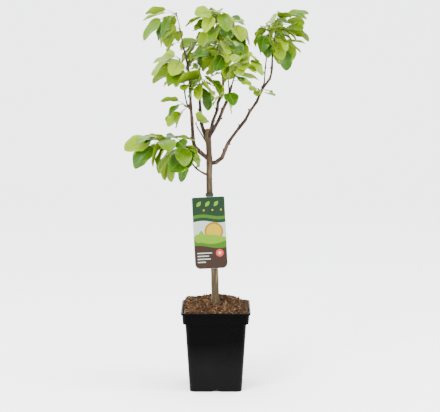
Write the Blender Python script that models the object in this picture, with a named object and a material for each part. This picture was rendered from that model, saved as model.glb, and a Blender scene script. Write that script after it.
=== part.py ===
"""A young pear tree in a square nursery pot, with a hang label strapped round its stem.

Sizes are in millimetres, and MM turns them into Blender's metres. +Z is up. The origin is on the floor, at
the middle of the pot's flat underside, and the label faces the front, which is -Y.
"""

import math
import random

import bmesh
import bpy
from mathutils import Matrix, Vector
from mathutils.bvhtree import BVHTree

MM = 0.001
GAP = 0.3  # air between pieces that touch

# Pot: a tapered square body, a wider collar, and a lip round its top
POT_HEIGHT = 200.0
POT_FOOT_WIDTH = 128.0
POT_SHOULDER_WIDTH = 149.0
COLLAR_HEIGHT = 29.0
COLLAR_FOOT_WIDTH = 160.5
COLLAR_TOP_WIDTH = 164.0
LIP_WIDTH = 170.0
LIP_HEIGHT = 5.5
POT_WALL = 1.8
POT_BASE = 7.0
POT_CORNER = 13.0
CORNER_STEPS = 4
SIDE_STEPS = 4
CHANNEL_RADIUS = 16.9
CHANNEL_HEIGHT = 5.0
CHANNEL_LENGTH = 24.0
DRAIN_RADIUS = 5.0
DRAIN_AT = 50.0

# Bark mulch: it fills the pot, heaped above the lip, highest behind the stem, and slack at the back right
GROUND = 209.0
HEAP_EDGE = 203.0
HEAP_TILT = 4.5
HEAP_RISE = 7.0
HEAP_BACK = (0.0, 46.0, 8.0, 46.0, 26.0)  # x, y, height and two half widths of the mound behind the stem
SLACK_CORNER = (74.0, 74.0, -17.0, 20.0, 20.0)
SEAT_RADIUS = 13.0
HEAP_RINGS = (0.97, 0.9, 0.8, 0.68, 0.55, 0.42, 0.3, 0.2, 0.14)

# Label: a thin card that hangs by its fold from a strap round the stem
LABEL_AXIS = (-15.3, -11.4, 476.0)
LABEL_LEAN = math.radians(2.8)
LABEL_WIDTH = 80.0
LABEL_LENGTH = 178.0
LABEL_THICK = 0.9
LABEL_OFFSET = -3.7
LABEL_CORNERS = (4.0, 13.0)
LABEL_BELOW_AXIS = 0.4
STRAP_ABOVE_AXIS = 0.5
STRAP_WIDTH = 6.5
STRAP_THICK = 1.2
STRAP_HALF = 9.8
STRAP_BACK = 22.2

# Wood: every limb runs through its knees, and thins evenly from its first girth to its last
TRUNK = {
    "name": "trunk",
    "knees": [
        (-1, 0, GROUND - 6),
        (-3, 0, 287),
        (-9, 0, 379),
        (-15, 0, 476),
        (-16, 0, 528),
        (-15.5, 0, 564),
        (-17.5, 0, 606),
        (-19, 0.5, 641),
    ],
    "girth": (9.6, 6.5),
    "swellings": [(GROUND, 2.0, 9.0), (491, 0.8, 5.0), (560, 1.1, 10.0), (616, 0.9, 12.0)],
}
BOUGHS = [
    {
        "name": "bough_low_left",
        "on": "trunk",
        "knees": [(-16, 0, 526), (-28, -6, 532), (-48, -20, 547), (-66, -34, 573)],
        "girth": (2.6, 1.7),
    },
    {
        "name": "bough_left",
        "on": "trunk",
        "knees": [
            (-16, 0, 566),
            (-36, -8, 583),
            (-50, -14, 597),
            (-55, -18, 620),
            (-57, -26, 662),
            (-60, -34, 700),
            (-61, -42, 738),
            (-64, -51, 776),
            (-70, -57, 816),
            (-77, -62, 841),
        ],
        "girth": (4.9, 2.3),
    },
    {
        "name": "bough_left_inner",
        "on": "bough_left",
        "knees": [(-59, -31.3, 687), (-68, -25, 699), (-75, -14, 731), (-77, -4, 762)],
        "girth": (1.9, 1.5),
    },
    {
        "name": "bough_short",
        "on": "trunk",
        "knees": [(-17, 0, 594), (-28, -12, 618), (-43, -26, 644)],
        "girth": (1.9, 1.5),
    },
    {
        "name": "bough_rear",
        "on": "trunk",
        "knees": [(-18, 0, 608), (-29, 14, 632), (-35, 25, 650), (-38, 42, 681), (-41, 62, 736)],
        "girth": (4.4, 2.9),
    },
    {
        "name": "bough_centre",
        "on": "trunk",
        "knees": [
            (-17.5, 0.2, 613),
            (-11, 12, 640),
            (-7, 18, 658),
            (4, 27, 686),
            (5, 31, 701),
            (13, 37, 718),
            (19, 49, 753),
            (30, 60, 792),
        ],
        "girth": (3.9, 2.7),
    },
    {
        "name": "bough_front",
        "on": "trunk",
        "knees": [
            (-18, 0, 618),
            (-6, -13, 640),
            (9, -28, 668),
            (17, -38, 691),
            (27, -50, 713),
            (38, -64, 750),
        ],
        "girth": (4.6, 3.0),
    },
    {
        "name": "bough_right",
        "on": "trunk",
        "knees": [
            (-15.5, 0, 556),
            (0, -2, 559),
            (15, -2, 570),
            (22, -2, 587),
            (29, 0, 605),
            (59, 8, 645),
            (72, 12, 661),
            (83, 16, 682),
            (99, 20, 704),
            (114, 26, 737),
            (131, 32, 759),
            (137, 37, 784),
            (138, 42, 821),
        ],
        "girth": (4.4, 2.3),
    },
    {
        "name": "bough_right_inner",
        "on": "bough_right",
        "knees": [(112, 25.3, 733), (118, 23, 751), (120, 19, 786), (126, 13, 833)],
        "girth": (1.8, 1.4),
    },
]
LIMB_STEP = 15.0
KNOT = 0.16  # how far a knee stands out, as a share of the limb's girth

# Foliage: each spray is one leafy shoot on its bough. Its leaves stand in rosettes, spaced evenly from the
# share "first" of its stem up to its tip. They go from "rise" at the stalk's root to "droop" below the level
# at the blade's tip, and keep to the spray's space: one or two rounded blocks, each given by its middle and
# half sizes.
SPRAYS = [
    {
        "name": "foliage_low_left",
        "on": "bough_low_left",
        "stem": [(-66, -34, 573), (-83, -44, 594), (-100, -50, 605), (-119, -54, 610), (-130, -56, 613)],
        "space": [(-139, -50, 582, 104, 80, 78)],
        "first": 0.2, "leaves": (4, 5, 6),
        "leaf": 70, "broad": 0.74, "stalk": 30, "rise": (-15, 65), "droop": (15, 95), "seed": 118,
    },
    {
        "name": "foliage_left_top",
        "on": "bough_left",
        "stem": [(-77, -62, 841), (-82, -66, 874), (-87, -70, 899), (-92, -72, 918)],
        "space": [(-150, -72, 901, 30, 60, 53), (-105, -66, 872, 34, 60, 44)],
        "first": 0.1, "leaves": (4, 6),
        "leaf": 66, "broad": 0.66, "stalk": 38, "rise": (-15, 45), "droop": (20, 100), "seed": 66,
    },
    {
        "name": "foliage_left_mid",
        "on": "bough_left_inner",
        "stem": [(-77, -4, 762), (-81, 4, 788), (-86, 8, 807)],
        "space": [(-119, 0, 794, 52, 64, 60)],
        "first": 0.3, "leaves": (5, 6),
        "leaf": 66, "broad": 0.68, "stalk": 26, "rise": (-10, 50), "droop": (20, 90), "seed": 30006,
    },
    {
        "name": "foliage_left_low",
        "on": "bough_left",
        "stem": [(-59.2, -32, 692), (-66, -35, 696), (-72, -37, 698)],
        "space": [(-100, -36, 690, 40, 54, 60)],
        "first": 0.9, "leaves": (5,),
        "leaf": 60, "broad": 0.66, "stalk": 24, "rise": (-30, 50), "droop": (10, 80), "seed": 30094,
    },
    {
        "name": "foliage_left_front",
        "on": "bough_left",
        "stem": [(-61.2, -43, 742), (-42, -52, 752), (-22, -56, 757)],
        "space": [(-44, -66, 772, 52, 70, 62), (-16, -70, 725, 36, 60, 52)],
        "first": 0.7, "leaves": (4, 6),
        "leaf": 70, "broad": 0.68, "stalk": 16, "rise": (-20, 70), "droop": (10, 90), "seed": 10020,
    },
    {
        "name": "foliage_left_high",
        "on": "bough_left",
        "stem": [(-66.6, -53.2, 792), (-58, -53, 806), (-50, -51, 817)],
        "space": [(-44, -50, 852, 42, 56, 56)],
        "first": 0.7, "leaves": (4, 5),
        "leaf": 58, "broad": 0.68, "stalk": 20, "rise": (-10, 75), "droop": (10, 95), "seed": 30044,
    },
    {
        "name": "foliage_short",
        "on": "bough_short",
        "stem": [(-43, -26, 644), (-47, -31, 655)],
        "space": [(-34, -40, 690, 32, 50, 48)],
        "first": 0.9, "leaves": (4,),
        "leaf": 50, "broad": 0.72, "stalk": 16, "rise": (10, 80), "droop": (0, 90), "seed": 20043,
    },
    {
        "name": "foliage_rear",
        "on": "bough_rear",
        "stem": [(-41, 62, 736), (-39, 76, 779), (-36, 88, 815), (-32, 94, 842)],
        "space": [(-44, 96, 830, 50, 66, 64)],
        "first": 0.35, "leaves": (5, 6, 6),
        "leaf": 66, "broad": 0.68, "stalk": 26, "rise": (0, 60), "droop": (10, 90), "seed": 20031,
    },
    {
        "name": "foliage_centre",
        "on": "bough_centre",
        "stem": [(30, 60, 792), (34, 70, 840), (32, 78, 885)],
        "space": [(35, 86, 852, 50, 66, 66)],
        "first": 0.3, "leaves": (5, 6, 6),
        "leaf": 64, "broad": 0.68, "stalk": 26, "rise": (0, 85), "droop": (0, 100), "seed": 30029,
    },
    {
        "name": "foliage_crest",
        "on": "bough_centre",
        "stem": [(17, 45, 742), (15, 41, 775), (8, 34, 840), (-1, 28, 915)],
        "space": [(-15, 26, 885, 66, 60, 62)],
        "first": 0.5, "leaves": (5, 5, 5),
        "leaf": 60, "broad": 0.68, "stalk": 26, "rise": (0, 80), "droop": (10, 95), "seed": 123,
    },
    {
        "name": "foliage_front",
        "on": "bough_front",
        "stem": [(38, -64, 750), (45, -74, 773), (54, -80, 790), (66, -86, 812)],
        "space": [(65, -85, 822, 54, 72, 76)],
        "first": 0.3, "leaves": (5, 6, 6),
        "leaf": 64, "broad": 0.68, "stalk": 26, "rise": (-5, 60), "droop": (20, 95), "seed": 20071,
    },
    {
        "name": "foliage_front_high",
        "on": "bough_front",
        "stem": [(32, -56, 729), (30, -61, 762), (22, -60, 805), (17, -56, 850)],
        "space": [(14, -62, 822, 54, 66, 70)],
        "first": 0.5, "leaves": (5, 6, 6),
        "leaf": 64, "broad": 0.68, "stalk": 24, "rise": (0, 60), "droop": (20, 95), "seed": 20001,
    },
    {
        "name": "foliage_front_low",
        "on": "bough_front",
        "stem": [(29, -52, 718), (27, -62, 724), (25, -68, 727)],
        "space": [(27, -76, 727, 38, 46, 46)],
        "first": 0.9, "leaves": (4,),
        "leaf": 56, "broad": 0.68, "stalk": 16, "rise": (-10, 60), "droop": (20, 90), "seed": 10041,
    },
    {
        "name": "foliage_right_top",
        "on": "bough_right",
        "stem": [(138, 42, 821), (141, 46, 844), (144, 52, 866), (151, 54, 888)],
        "space": [(184, 55, 850, 56, 74, 100)],
        "first": 0.3, "leaves": (6, 6, 7),
        "leaf": 64, "broad": 0.68, "stalk": 34, "rise": (5, 85), "droop": (0, 100), "seed": 30002,
    },
    {
        "name": "foliage_right_inner",
        "on": "bough_right_inner",
        "stem": [(126, 13, 833), (127, 10, 855), (128, 8, 886)],
        "space": [(136, 0, 872, 44, 66, 74)],
        "first": 0.4, "leaves": (5, 6),
        "leaf": 60, "broad": 0.68, "stalk": 24, "rise": (5, 85), "droop": (0, 100), "seed": 30017,
    },
    {
        "name": "foliage_right_low",
        "on": "bough_right",
        "stem": [(109, 23.8, 728), (106, 18, 733), (104, 13, 736)],
        "space": [(115, 8, 731, 38, 40, 30)],
        "first": 0.9, "leaves": (4,),
        "leaf": 34, "broad": 0.8, "stalk": 18, "rise": (-30, 40), "droop": (10, 90), "seed": 12,
    },
]
STEM_GIRTHS = (1.7, 1.1)
ROSETTE_DEPTH = 7.0  # how far a rosette's stalks are spread along the stem
STALK_GIRTHS = (0.95, 0.75)
STALK_STEPS = 4
BLADE_STEPS = 12
STALK_BEND = 0.65  # the share of a leaf's fall that its stalk takes up
LEAF_THICK = 0.9
LEAF_FOLD = (0.12, 0.38)
TURN_SPREAD = 38
ROLL_SPREAD = 50
SIZE_SPREAD = (0.74, 1.08)
ROOM = 1.1  # half the width of the air kept round a leaf
TRIES = 100
GOLDEN_ANGLE = 137.5

# The steps of a leaf's spine that its solid, its room and the test of its space are taken at
BLADE_RINGS = (0, 2, 4, 6, 9, 13, 16)
ROOM_RINGS = (0, 1, 2, 4, 6, 8, 10, 12, 14, 16)
SPACE_STEPS = (6, 10, 13, 16)

# Colours, with roughness
COLOURS = {
    "pot": ((0.012, 0.012, 0.013), 0.42),
    "substrate": ((0.13, 0.06, 0.03), 0.95),
    "trunk": ((0.1, 0.07, 0.035), 0.8),
    "bough": ((0.07, 0.04, 0.022), 0.75),
    "foliage": ((0.19, 0.33, 0.035), 0.45),
    "label_strap": ((0.01, 0.05, 0.03), 0.45),
    "label_card": ((0.05, 0.2, 0.07), 0.35),
}


def smooth(share):
    share = min(max(share, 0.0), 1.0)
    return share * share * (3 - 2 * share)


def finish(name, mesh_data, collection, kind, parent=None, spin=None, location=(0, 0, 0)):
    """Put a mesh in the scene as one named object, with its own material."""
    colour, roughness = COLOURS[kind]
    material = bpy.data.materials.new(name)
    material.use_nodes = True
    shader = material.node_tree.nodes["Principled BSDF"]
    shader.inputs["Base Color"].default_value = (*colour, 1)
    shader.inputs["Roughness"].default_value = roughness
    shader.inputs["Metallic"].default_value = 0.0
    mesh_data.materials.clear()
    mesh_data.materials.append(material)
    mesh_data.shade_smooth()
    mesh_data.set_sharp_from_angle(angle=math.radians(35))
    thing = bpy.data.objects.new(name, mesh_data)
    thing.location = Vector(location) * MM
    if spin:
        thing.rotation_euler = spin
    thing.parent = parent
    collection.objects.link(thing)
    return thing


def to_mesh(name, bm):
    """Turn a mesh drawn in millimetres into one in metres, with its faces pointing out."""
    bmesh.ops.scale(bm, vec=(MM, MM, MM), verts=bm.verts)
    bmesh.ops.recalc_face_normals(bm, faces=bm.faces)
    mesh_data = bpy.data.meshes.new(name)
    bm.to_mesh(mesh_data)
    bm.free()
    return mesh_data


def loft(bm, rings, caps=(True, True), split=False):
    """Skin a row of rings with equally many points. A ring of one point closes that end.

    Split cuts both sides of a thin blade along the same lines, so that they can't pass through each other.
    """
    rows = [[bm.verts.new(point) for point in ring] for ring in rings]
    for low, high in zip(rows, rows[1:]):
        count = max(len(low), len(high))
        for i in range(count):
            j = (i + 1) % count
            if len(high) == 1:
                bm.faces.new((low[i], low[j], high[0]))
            elif split:
                margin, middle = (j, i) if i % 2 else (i, j)
                bm.faces.new((low[i], low[j], high[middle]))
                bm.faces.new((low[margin], high[j], high[i]))
            else:
                bm.faces.new((low[i], low[j], high[j], high[i]))
    if caps[0]:
        bm.faces.new(rows[0][::-1])
    if caps[1] and len(rows[-1]) > 1:
        bm.faces.new(rows[-1])


def only_largest(mesh_data):
    """Drop the loose scraps that a cut or a union leaves beside the piece itself."""
    bm = bmesh.new()
    bm.from_mesh(mesh_data)
    left = set(bm.faces)
    groups = []
    while left:
        group = set()
        front = [left.pop()]
        while front:
            face = front.pop()
            group.add(face)
            for edge in face.edges:
                for other in edge.link_faces:
                    if other in left:
                        left.remove(other)
                        front.append(other)
        groups.append(group)
    groups.sort(key=len)
    for group in groups[:-1]:
        bmesh.ops.delete(bm, geom=list(group), context="FACES")
    bm.to_mesh(mesh_data)
    bm.free()


def boolean(thing, other, operation, solver="EXACT"):
    """Join or cut a thing with an object, or with all the objects of a collection, for good."""
    change = thing.modifiers.new("boolean", "BOOLEAN")
    change.solver = solver
    change.operation = operation
    if isinstance(other, bpy.types.Collection):
        change.operand_type = "COLLECTION"
        change.collection = other
    else:
        change.object = other
    evaluated = thing.evaluated_get(bpy.context.evaluated_depsgraph_get())
    result = bpy.data.meshes.new_from_object(evaluated)
    thing.modifiers.clear()
    old = thing.data
    thing.data = result
    bpy.data.meshes.remove(old)
    only_largest(thing.data)


# Pot and mulch


def rounded_square(width, corner, height):
    """The outline of a square with round corners, as points that run the same way at every size."""
    half = width / 2
    points = []
    for quarter in range(4):
        turn = Matrix.Rotation(math.radians(90 * quarter), 3, "Z")
        for step in range(SIDE_STEPS):
            y = (half - corner) * (2 * step / SIDE_STEPS - 1)
            points.append(turn @ Vector((half, y, height)))
        for step in range(CORNER_STEPS):
            angle = math.radians(90 * step / CORNER_STEPS)
            centre = half - corner
            x = centre + corner * math.cos(angle)
            y = centre + corner * math.sin(angle)
            points.append(turn @ Vector((x, y, height)))
    return points


def pot_walls():
    """The pot's section from its foot up the outside, and from its lip down the inside: width and height."""
    shoulder = POT_HEIGHT - COLLAR_HEIGHT
    under_lip = POT_HEIGHT - LIP_HEIGHT
    outside = [
        (POT_FOOT_WIDTH, 0.0),
        (POT_SHOULDER_WIDTH, shoulder),
        (COLLAR_FOOT_WIDTH, shoulder),
        (COLLAR_TOP_WIDTH, under_lip),
        (LIP_WIDTH, under_lip),
        (LIP_WIDTH, POT_HEIGHT),
    ]
    inside = [
        (COLLAR_TOP_WIDTH - 2 * POT_WALL, POT_HEIGHT),
        (COLLAR_FOOT_WIDTH - 2 * POT_WALL, shoulder + POT_WALL),
        (POT_SHOULDER_WIDTH - 2 * POT_WALL, shoulder + POT_WALL),
        (POT_FOOT_WIDTH - 2 * POT_WALL, POT_BASE),
    ]
    return outside, inside


def cylinder(radius, length, spin, location):
    bpy.ops.mesh.primitive_cylinder_add(
        vertices=32,
        radius=radius * MM,
        depth=length * MM,
        rotation=spin,
        location=Vector(location) * MM,
    )
    return bpy.context.object


def make_pot(collection, cutters):
    outside, inside = pot_walls()
    bm = bmesh.new()
    loft(bm, [rounded_square(width, POT_CORNER, height) for width, height in outside + inside])
    pot = finish("pot", to_mesh("pot", bm), collection, "pot")
    for side in range(4):
        angle = math.radians(90 * side)
        out = Vector((math.cos(angle), math.sin(angle), 0))
        middle = out * (POT_FOOT_WIDTH / 2) + Vector((0, 0, CHANNEL_HEIGHT - CHANNEL_RADIUS))
        for cutter in (
            cylinder(CHANNEL_RADIUS, 2 * CHANNEL_LENGTH, (0, math.pi / 2, angle), middle),
            cylinder(DRAIN_RADIUS, 4 * POT_BASE, (0, 0, 0), out * DRAIN_AT),
        ):
            for home in cutter.users_collection:
                home.objects.unlink(cutter)
            cutters.objects.link(cutter)
            cutter.hide_render = True
            cutter.display_type = "WIRE"
            cutter.name = f"pot_cutter_{len(cutters.objects)}"
            boolean(pot, cutter, "DIFFERENCE")
    return pot


def mound(x, y, place_x, place_y, height, wide, deep):
    return height * math.exp(-((x - place_x) / wide) ** 2 - ((y - place_y) / deep) ** 2)


def heap_height(x, y):
    """The mulch's surface, with a flat seat for the stem's foot."""
    half = COLLAR_TOP_WIDTH / 2
    dome = (1 - abs(x / half) ** 2.5) * (1 - abs(y / half) ** 2.5)
    height = HEAP_EDGE + HEAP_TILT * y / half + HEAP_RISE * max(dome, 0)
    height += mound(x, y, *HEAP_BACK[:2], HEAP_BACK[2], *HEAP_BACK[3:])
    height += mound(x, y, *SLACK_CORNER[:2], SLACK_CORNER[2], *SLACK_CORNER[3:])
    foot = math.hypot(x - TRUNK["knees"][0][0], y - TRUNK["knees"][0][1])
    share = smooth((foot - SEAT_RADIUS) / 12)
    return GROUND + (height - GROUND) * share


def make_substrate(collection):
    rng = random.Random(5)
    _, inside = pot_walls()
    lip, ledge_out, ledge_in, floor = inside
    rings = [
        rounded_square(floor[0] - 2 * GAP, POT_CORNER, floor[1] + GAP),
        rounded_square(ledge_in[0] - 2 * GAP, POT_CORNER, ledge_in[1] + GAP),
        rounded_square(ledge_out[0] - 2 * GAP, POT_CORNER, ledge_out[1] + GAP),
    ]
    width = lip[0] - 4 * GAP
    edge = rounded_square(width, POT_CORNER, 0)
    ring = []
    for point in edge:
        height = min(heap_height(point.x, point.y), HEAP_EDGE) - 4.5
        share = (height - ledge_out[1]) / (lip[1] - ledge_out[1])
        fit = (ledge_out[0] + (lip[0] - ledge_out[0]) * share - 2 * GAP) / lip[0]
        ring.append(Vector((point.x * fit, point.y * fit, height)))
    rings.append(ring)
    for share in HEAP_RINGS:
        ring = []
        for point in edge:
            circle = point.normalized() * width / 2
            at = point.lerp(circle, 1 - share) * share
            bump = rng.uniform(-1.1, 1.1) if at.length > SEAT_RADIUS + 8 else 0
            ring.append(Vector((at.x, at.y, heap_height(at.x, at.y) + bump)))
        rings.append(ring)
    bm = bmesh.new()
    loft(bm, rings)
    bmesh.ops.triangulate(bm, faces=[f for f in bm.faces if len(f.verts) > 4])
    return finish("substrate", to_mesh("substrate", bm), collection, "substrate")


# Limbs


def course(knees, girths, swellings=(), knot=0.0):
    """A smooth way through the knees, as points with the girth at each."""
    knees = [Vector(knee) for knee in knees]
    ends = [2 * knees[0] - knees[1], *knees, 2 * knees[-1] - knees[-2]]
    lengths = [(b - a).length for a, b in zip(knees, knees[1:])]
    points = []
    done = 0.0
    for i, length in enumerate(lengths):
        before, start, end, after = ends[i : i + 4]
        steps = max(1, round(length / LIMB_STEP))
        for step in range(steps):
            t = step / steps
            bend = (end - before) * t + (2 * before - 5 * start + 4 * end - after) * t**2
            bend += (3 * start - before - 3 * end + after) * t**3
            stands_out = knot if step == 0 and i > 0 else 0.0
            points.append((start + bend / 2, (done + length * t) / sum(lengths), stands_out))
        done += length
    points.append((knees[-1], 1.0, 0.0))
    way = []
    for point, share, stands_out in points:
        girth = girths[0] + (girths[1] - girths[0]) * share
        girth *= 1 + stands_out
        for height, rise, width in swellings:
            girth += rise * math.exp(-(((point.z - height) / width) ** 2))
        way.append((point, girth))
    return way


def tube(name, way, resolution, extra=0.0):
    """A round bar along a way, as a closed mesh. As a cutter it is fatter and longer by extra."""
    points = [point for point, _ in way]
    if extra:
        points[0] = points[0] + (points[0] - points[1]).normalized() * extra
        points[-1] = points[-1] + (points[-1] - points[-2]).normalized() * extra
    line = bpy.data.curves.new(name, "CURVE")
    line.dimensions = "3D"
    line.bevel_depth = MM
    line.bevel_resolution = resolution
    line.use_fill_caps = True
    spline = line.splines.new("POLY")
    spline.points.add(len(points) - 1)
    for knot, point, (_, girth) in zip(spline.points, points, way):
        knot.co = (*(point * MM), 1)
        knot.radius = girth + extra
    holder = bpy.data.objects.new(name, line)
    bpy.context.scene.collection.objects.link(holder)
    evaluated = holder.evaluated_get(bpy.context.evaluated_depsgraph_get())
    mesh_data = bpy.data.meshes.new_from_object(evaluated)
    bpy.data.objects.remove(holder)
    bpy.data.curves.remove(line)
    bm = bmesh.new()
    bm.from_mesh(mesh_data)
    bmesh.ops.remove_doubles(bm, verts=bm.verts, dist=0.00001)
    bmesh.ops.recalc_face_normals(bm, faces=bm.faces)
    bm.to_mesh(mesh_data)
    bm.free()
    return mesh_data


def limb_course(limb):
    knot = KNOT if limb is not TRUNK else 0.0
    return course(limb["knees"], limb["girth"], limb.get("swellings", ()), knot)


def cutter_from(name, way, resolution, cutters):
    """The same limb with the gap added, to cut its neighbours clear of it."""
    thing = bpy.data.objects.new(f"{name}_clearance", tube(name, way, resolution, GAP))
    thing.hide_render = True
    thing.display_type = "WIRE"
    cutters.objects.link(thing)
    return thing


def make_trunk(collection, cutters):
    way = limb_course(TRUNK)
    mesh_data = tube("trunk", way, 4)
    bm = bmesh.new()
    bm.from_mesh(mesh_data)
    cut = bmesh.ops.bisect_plane(
        bm,
        geom=bm.verts[:] + bm.edges[:] + bm.faces[:],
        plane_co=(0, 0, (GROUND + GAP) * MM),
        plane_no=(0, 0, 1),
        clear_inner=True,
    )
    rim = [item for item in cut["geom_cut"] if isinstance(item, bmesh.types.BMEdge)]
    bmesh.ops.contextual_create(bm, geom=rim)
    bmesh.ops.recalc_face_normals(bm, faces=bm.faces)
    bm.to_mesh(mesh_data)
    bm.free()
    trunk = finish("trunk", mesh_data, collection, "trunk")
    return trunk, cutter_from("trunk", way, 4, cutters)


def make_boughs(collection, cutters, trunk_cutter):
    """Each bough starts inside the limb that carries it, and is cut clear of it and of earlier ones."""
    done = {"trunk": trunk_cutter}
    for limb in BOUGHS:
        way = limb_course(limb)
        bough = finish(limb["name"], tube(limb["name"], way, 2), collection, "bough")
        for name, cutter in done.items():
            if name == limb["on"] or limb["on"] == "trunk":
                boolean(bough, cutter, "DIFFERENCE")
        done[limb["name"]] = cutter_from(limb["name"], way, 2, cutters)
    return done


# Leaves


def blade_width(share):
    """How wide an egg-shaped blade is along its midrib, as a share of its greatest width."""
    return math.sin(math.pi * share**0.85) ** 0.62


def leaf_spine(root, length, stalk, azimuth, rise, droop, turn, roll):
    """The midrib from the stalk's root to the blade's tip: each point, and its side and face directions."""
    spine = []
    point = Vector(root)
    total = STALK_STEPS + BLADE_STEPS
    for step in range(total + 1):
        on_stalk = min(step / STALK_STEPS, 1.0)
        on_blade = max(step - STALK_STEPS, 0) / BLADE_STEPS
        fall = STALK_BEND * smooth(on_stalk) + (1 - STALK_BEND) * on_blade
        tilt = math.radians(rise - (rise + droop) * fall)
        compass = math.radians(azimuth + turn * (0.5 * on_stalk + 0.5 * on_blade))
        across = Vector((math.cos(compass), math.sin(compass), 0))
        ahead = across * math.cos(tilt) + Vector((0, 0, math.sin(tilt)))
        level = Vector((-math.sin(compass), math.cos(compass), 0))
        twist = Matrix.Rotation(math.radians(roll * on_stalk), 3, ahead)
        side = twist @ level
        spine.append((point.copy(), side, ahead.cross(side)))
        if step < total:
            point = point + ahead * (stalk / STALK_STEPS if step < STALK_STEPS else length / BLADE_STEPS)
    return spine


def leaf_ring(leaf, step, room=0.0):
    """One section of a leaf. It is four-sided, or six-sided with air all round when room is given."""
    point, side, face = leaf["spine"][step]
    if step <= STALK_STEPS:
        share = step / STALK_STEPS
        half = STALK_GIRTHS[0] + (STALK_GIRTHS[1] - STALK_GIRTHS[0]) * share
        lift, thick = 0.0, half
    else:
        share = (step - STALK_STEPS) / BLADE_STEPS
        half = max(leaf["wide"] / 2 * blade_width(min(share, 0.97)), 0.75)
        lift, thick = leaf["fold"] * half, LEAF_THICK / 2
    if not room:
        if step == STALK_STEPS + BLADE_STEPS:
            return [point]
        edge = side * half
        raised = face * lift
        under = face * thick
        return [point - edge + raised, point - under, point + edge + raised, point + under]
    edge = side * (half + room)
    raised = face * lift
    off = face * room
    return [
        point - edge + raised - off,
        point - off,
        point + edge + raised - off,
        point + edge + raised + off,
        point + off,
        point - edge + raised + off,
    ]


def room_of(leaf, first):
    """The air round a leaf from one of its rings to the tip, which no other leaf or limb may enter."""
    bm = bmesh.new()
    loft(bm, [leaf_ring(leaf, step, ROOM) for step in ROOM_RINGS if step >= first])
    tree = BVHTree.FromBMesh(bm)
    bm.free()
    return tree


def finds_room(leaf, spray, taken):
    """Keep the leaf's room if nothing is in it. By its own stem only the outer stalk and blade count."""
    whole = room_of(leaf, 0)
    outer = room_of(leaf, STALK_STEPS // 2)
    for owner, other_whole, other_outer in taken:
        if owner in (spray["name"], spray["on"]):
            if outer.overlap(other_outer):
                return False
        elif whole.overlap(other_whole):
            return False
    taken.append((spray["name"], whole, outer))
    return True


def rosette_roots(spray, way):
    """Where each leaf of a spray is rooted on its stem, rosette by rosette, with its number there."""
    points = [point for point, _ in way]
    lengths = [0.0]
    for a, b in zip(points, points[1:]):
        lengths.append(lengths[-1] + (b - a).length)
    count = len(spray["leaves"])
    for i, leaves in enumerate(spray["leaves"]):
        share = 1.0 if count == 1 else spray["first"] + (1 - spray["first"]) * i / (count - 1)
        for number in range(leaves):
            at = share * lengths[-1] - 1.2 - ROSETTE_DEPTH * number / leaves
            at = min(max(at, 2.0), lengths[-1] - 1.2)
            k = max(j for j in range(len(points) - 1) if lengths[j] <= at)
            part = (at - lengths[k]) / (lengths[k + 1] - lengths[k])
            yield points[k].lerp(points[k + 1], part), number


def keeps_to(leaf, space):
    """Whether a leaf's blade lies in one of the rounded blocks of its spray's space."""
    for x, y, z, *sizes in space:
        middle = Vector((x, y, z))
        for step in SPACE_STEPS:
            point, side, _ = leaf["spine"][step]
            share = (step - STALK_STEPS) / BLADE_STEPS
            edge = side * (leaf["wide"] / 2 * blade_width(min(share, 0.97)))
            offsets = (point - edge - middle, point + edge - middle)
            if any(sum(abs(a / b) ** 3 for a, b in zip(offset, sizes)) > 1 for offset in offsets):
                break
        else:
            return True
    return False


def grow_spray(spray, way, taken):
    """The leaves of one spray. Each is tried in several ways, and is left out where it never finds room."""
    rng = random.Random(spray["seed"])
    start = rng.uniform(0, 360)
    leaves = []
    for root, number in rosette_roots(spray, way):
        if number == 0:
            start += rng.uniform(40, 90)
        for attempt in range(TRIES):
            azimuth = start + GOLDEN_ANGLE * number + rng.uniform(-25, 25) * (1 + attempt / 4)
            length = spray["leaf"] * rng.uniform(*SIZE_SPREAD)
            stalk = spray["stalk"] * rng.uniform(0.7, 1.15)
            rise = rng.uniform(*spray["rise"])
            droop = rng.uniform(*spray["droop"])
            turn = rng.uniform(-TURN_SPREAD, TURN_SPREAD)
            roll = rng.uniform(-ROLL_SPREAD, ROLL_SPREAD)
            leaf = {
                "spine": leaf_spine(root, length, stalk, azimuth, rise, droop, turn, roll),
                "wide": length * spray["broad"] * rng.uniform(0.92, 1.06),
                "fold": rng.uniform(*LEAF_FOLD),
            }
            if keeps_to(leaf, spray["space"]) and finds_room(leaf, spray, taken):
                leaves.append(leaf)
                break
    return leaves


def wood_trees():
    """Every limb and stem as a thing that leaves keep clear of, in millimetres."""
    ways = {limb["name"]: limb_course(limb) for limb in [TRUNK, *BOUGHS]}
    stems = {spray["name"]: course(spray["stem"], STEM_GIRTHS) for spray in SPRAYS}
    trees = []
    for owner, way in [*ways.items(), *stems.items()]:
        bm = bmesh.new()
        bm.from_mesh(tube("wood", way, 1, GAP))
        bmesh.ops.scale(bm, vec=(1 / MM, 1 / MM, 1 / MM), verts=bm.verts)
        tree = BVHTree.FromBMesh(bm)
        trees.append((owner, tree, tree))
        bm.free()
    return trees, stems


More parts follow.
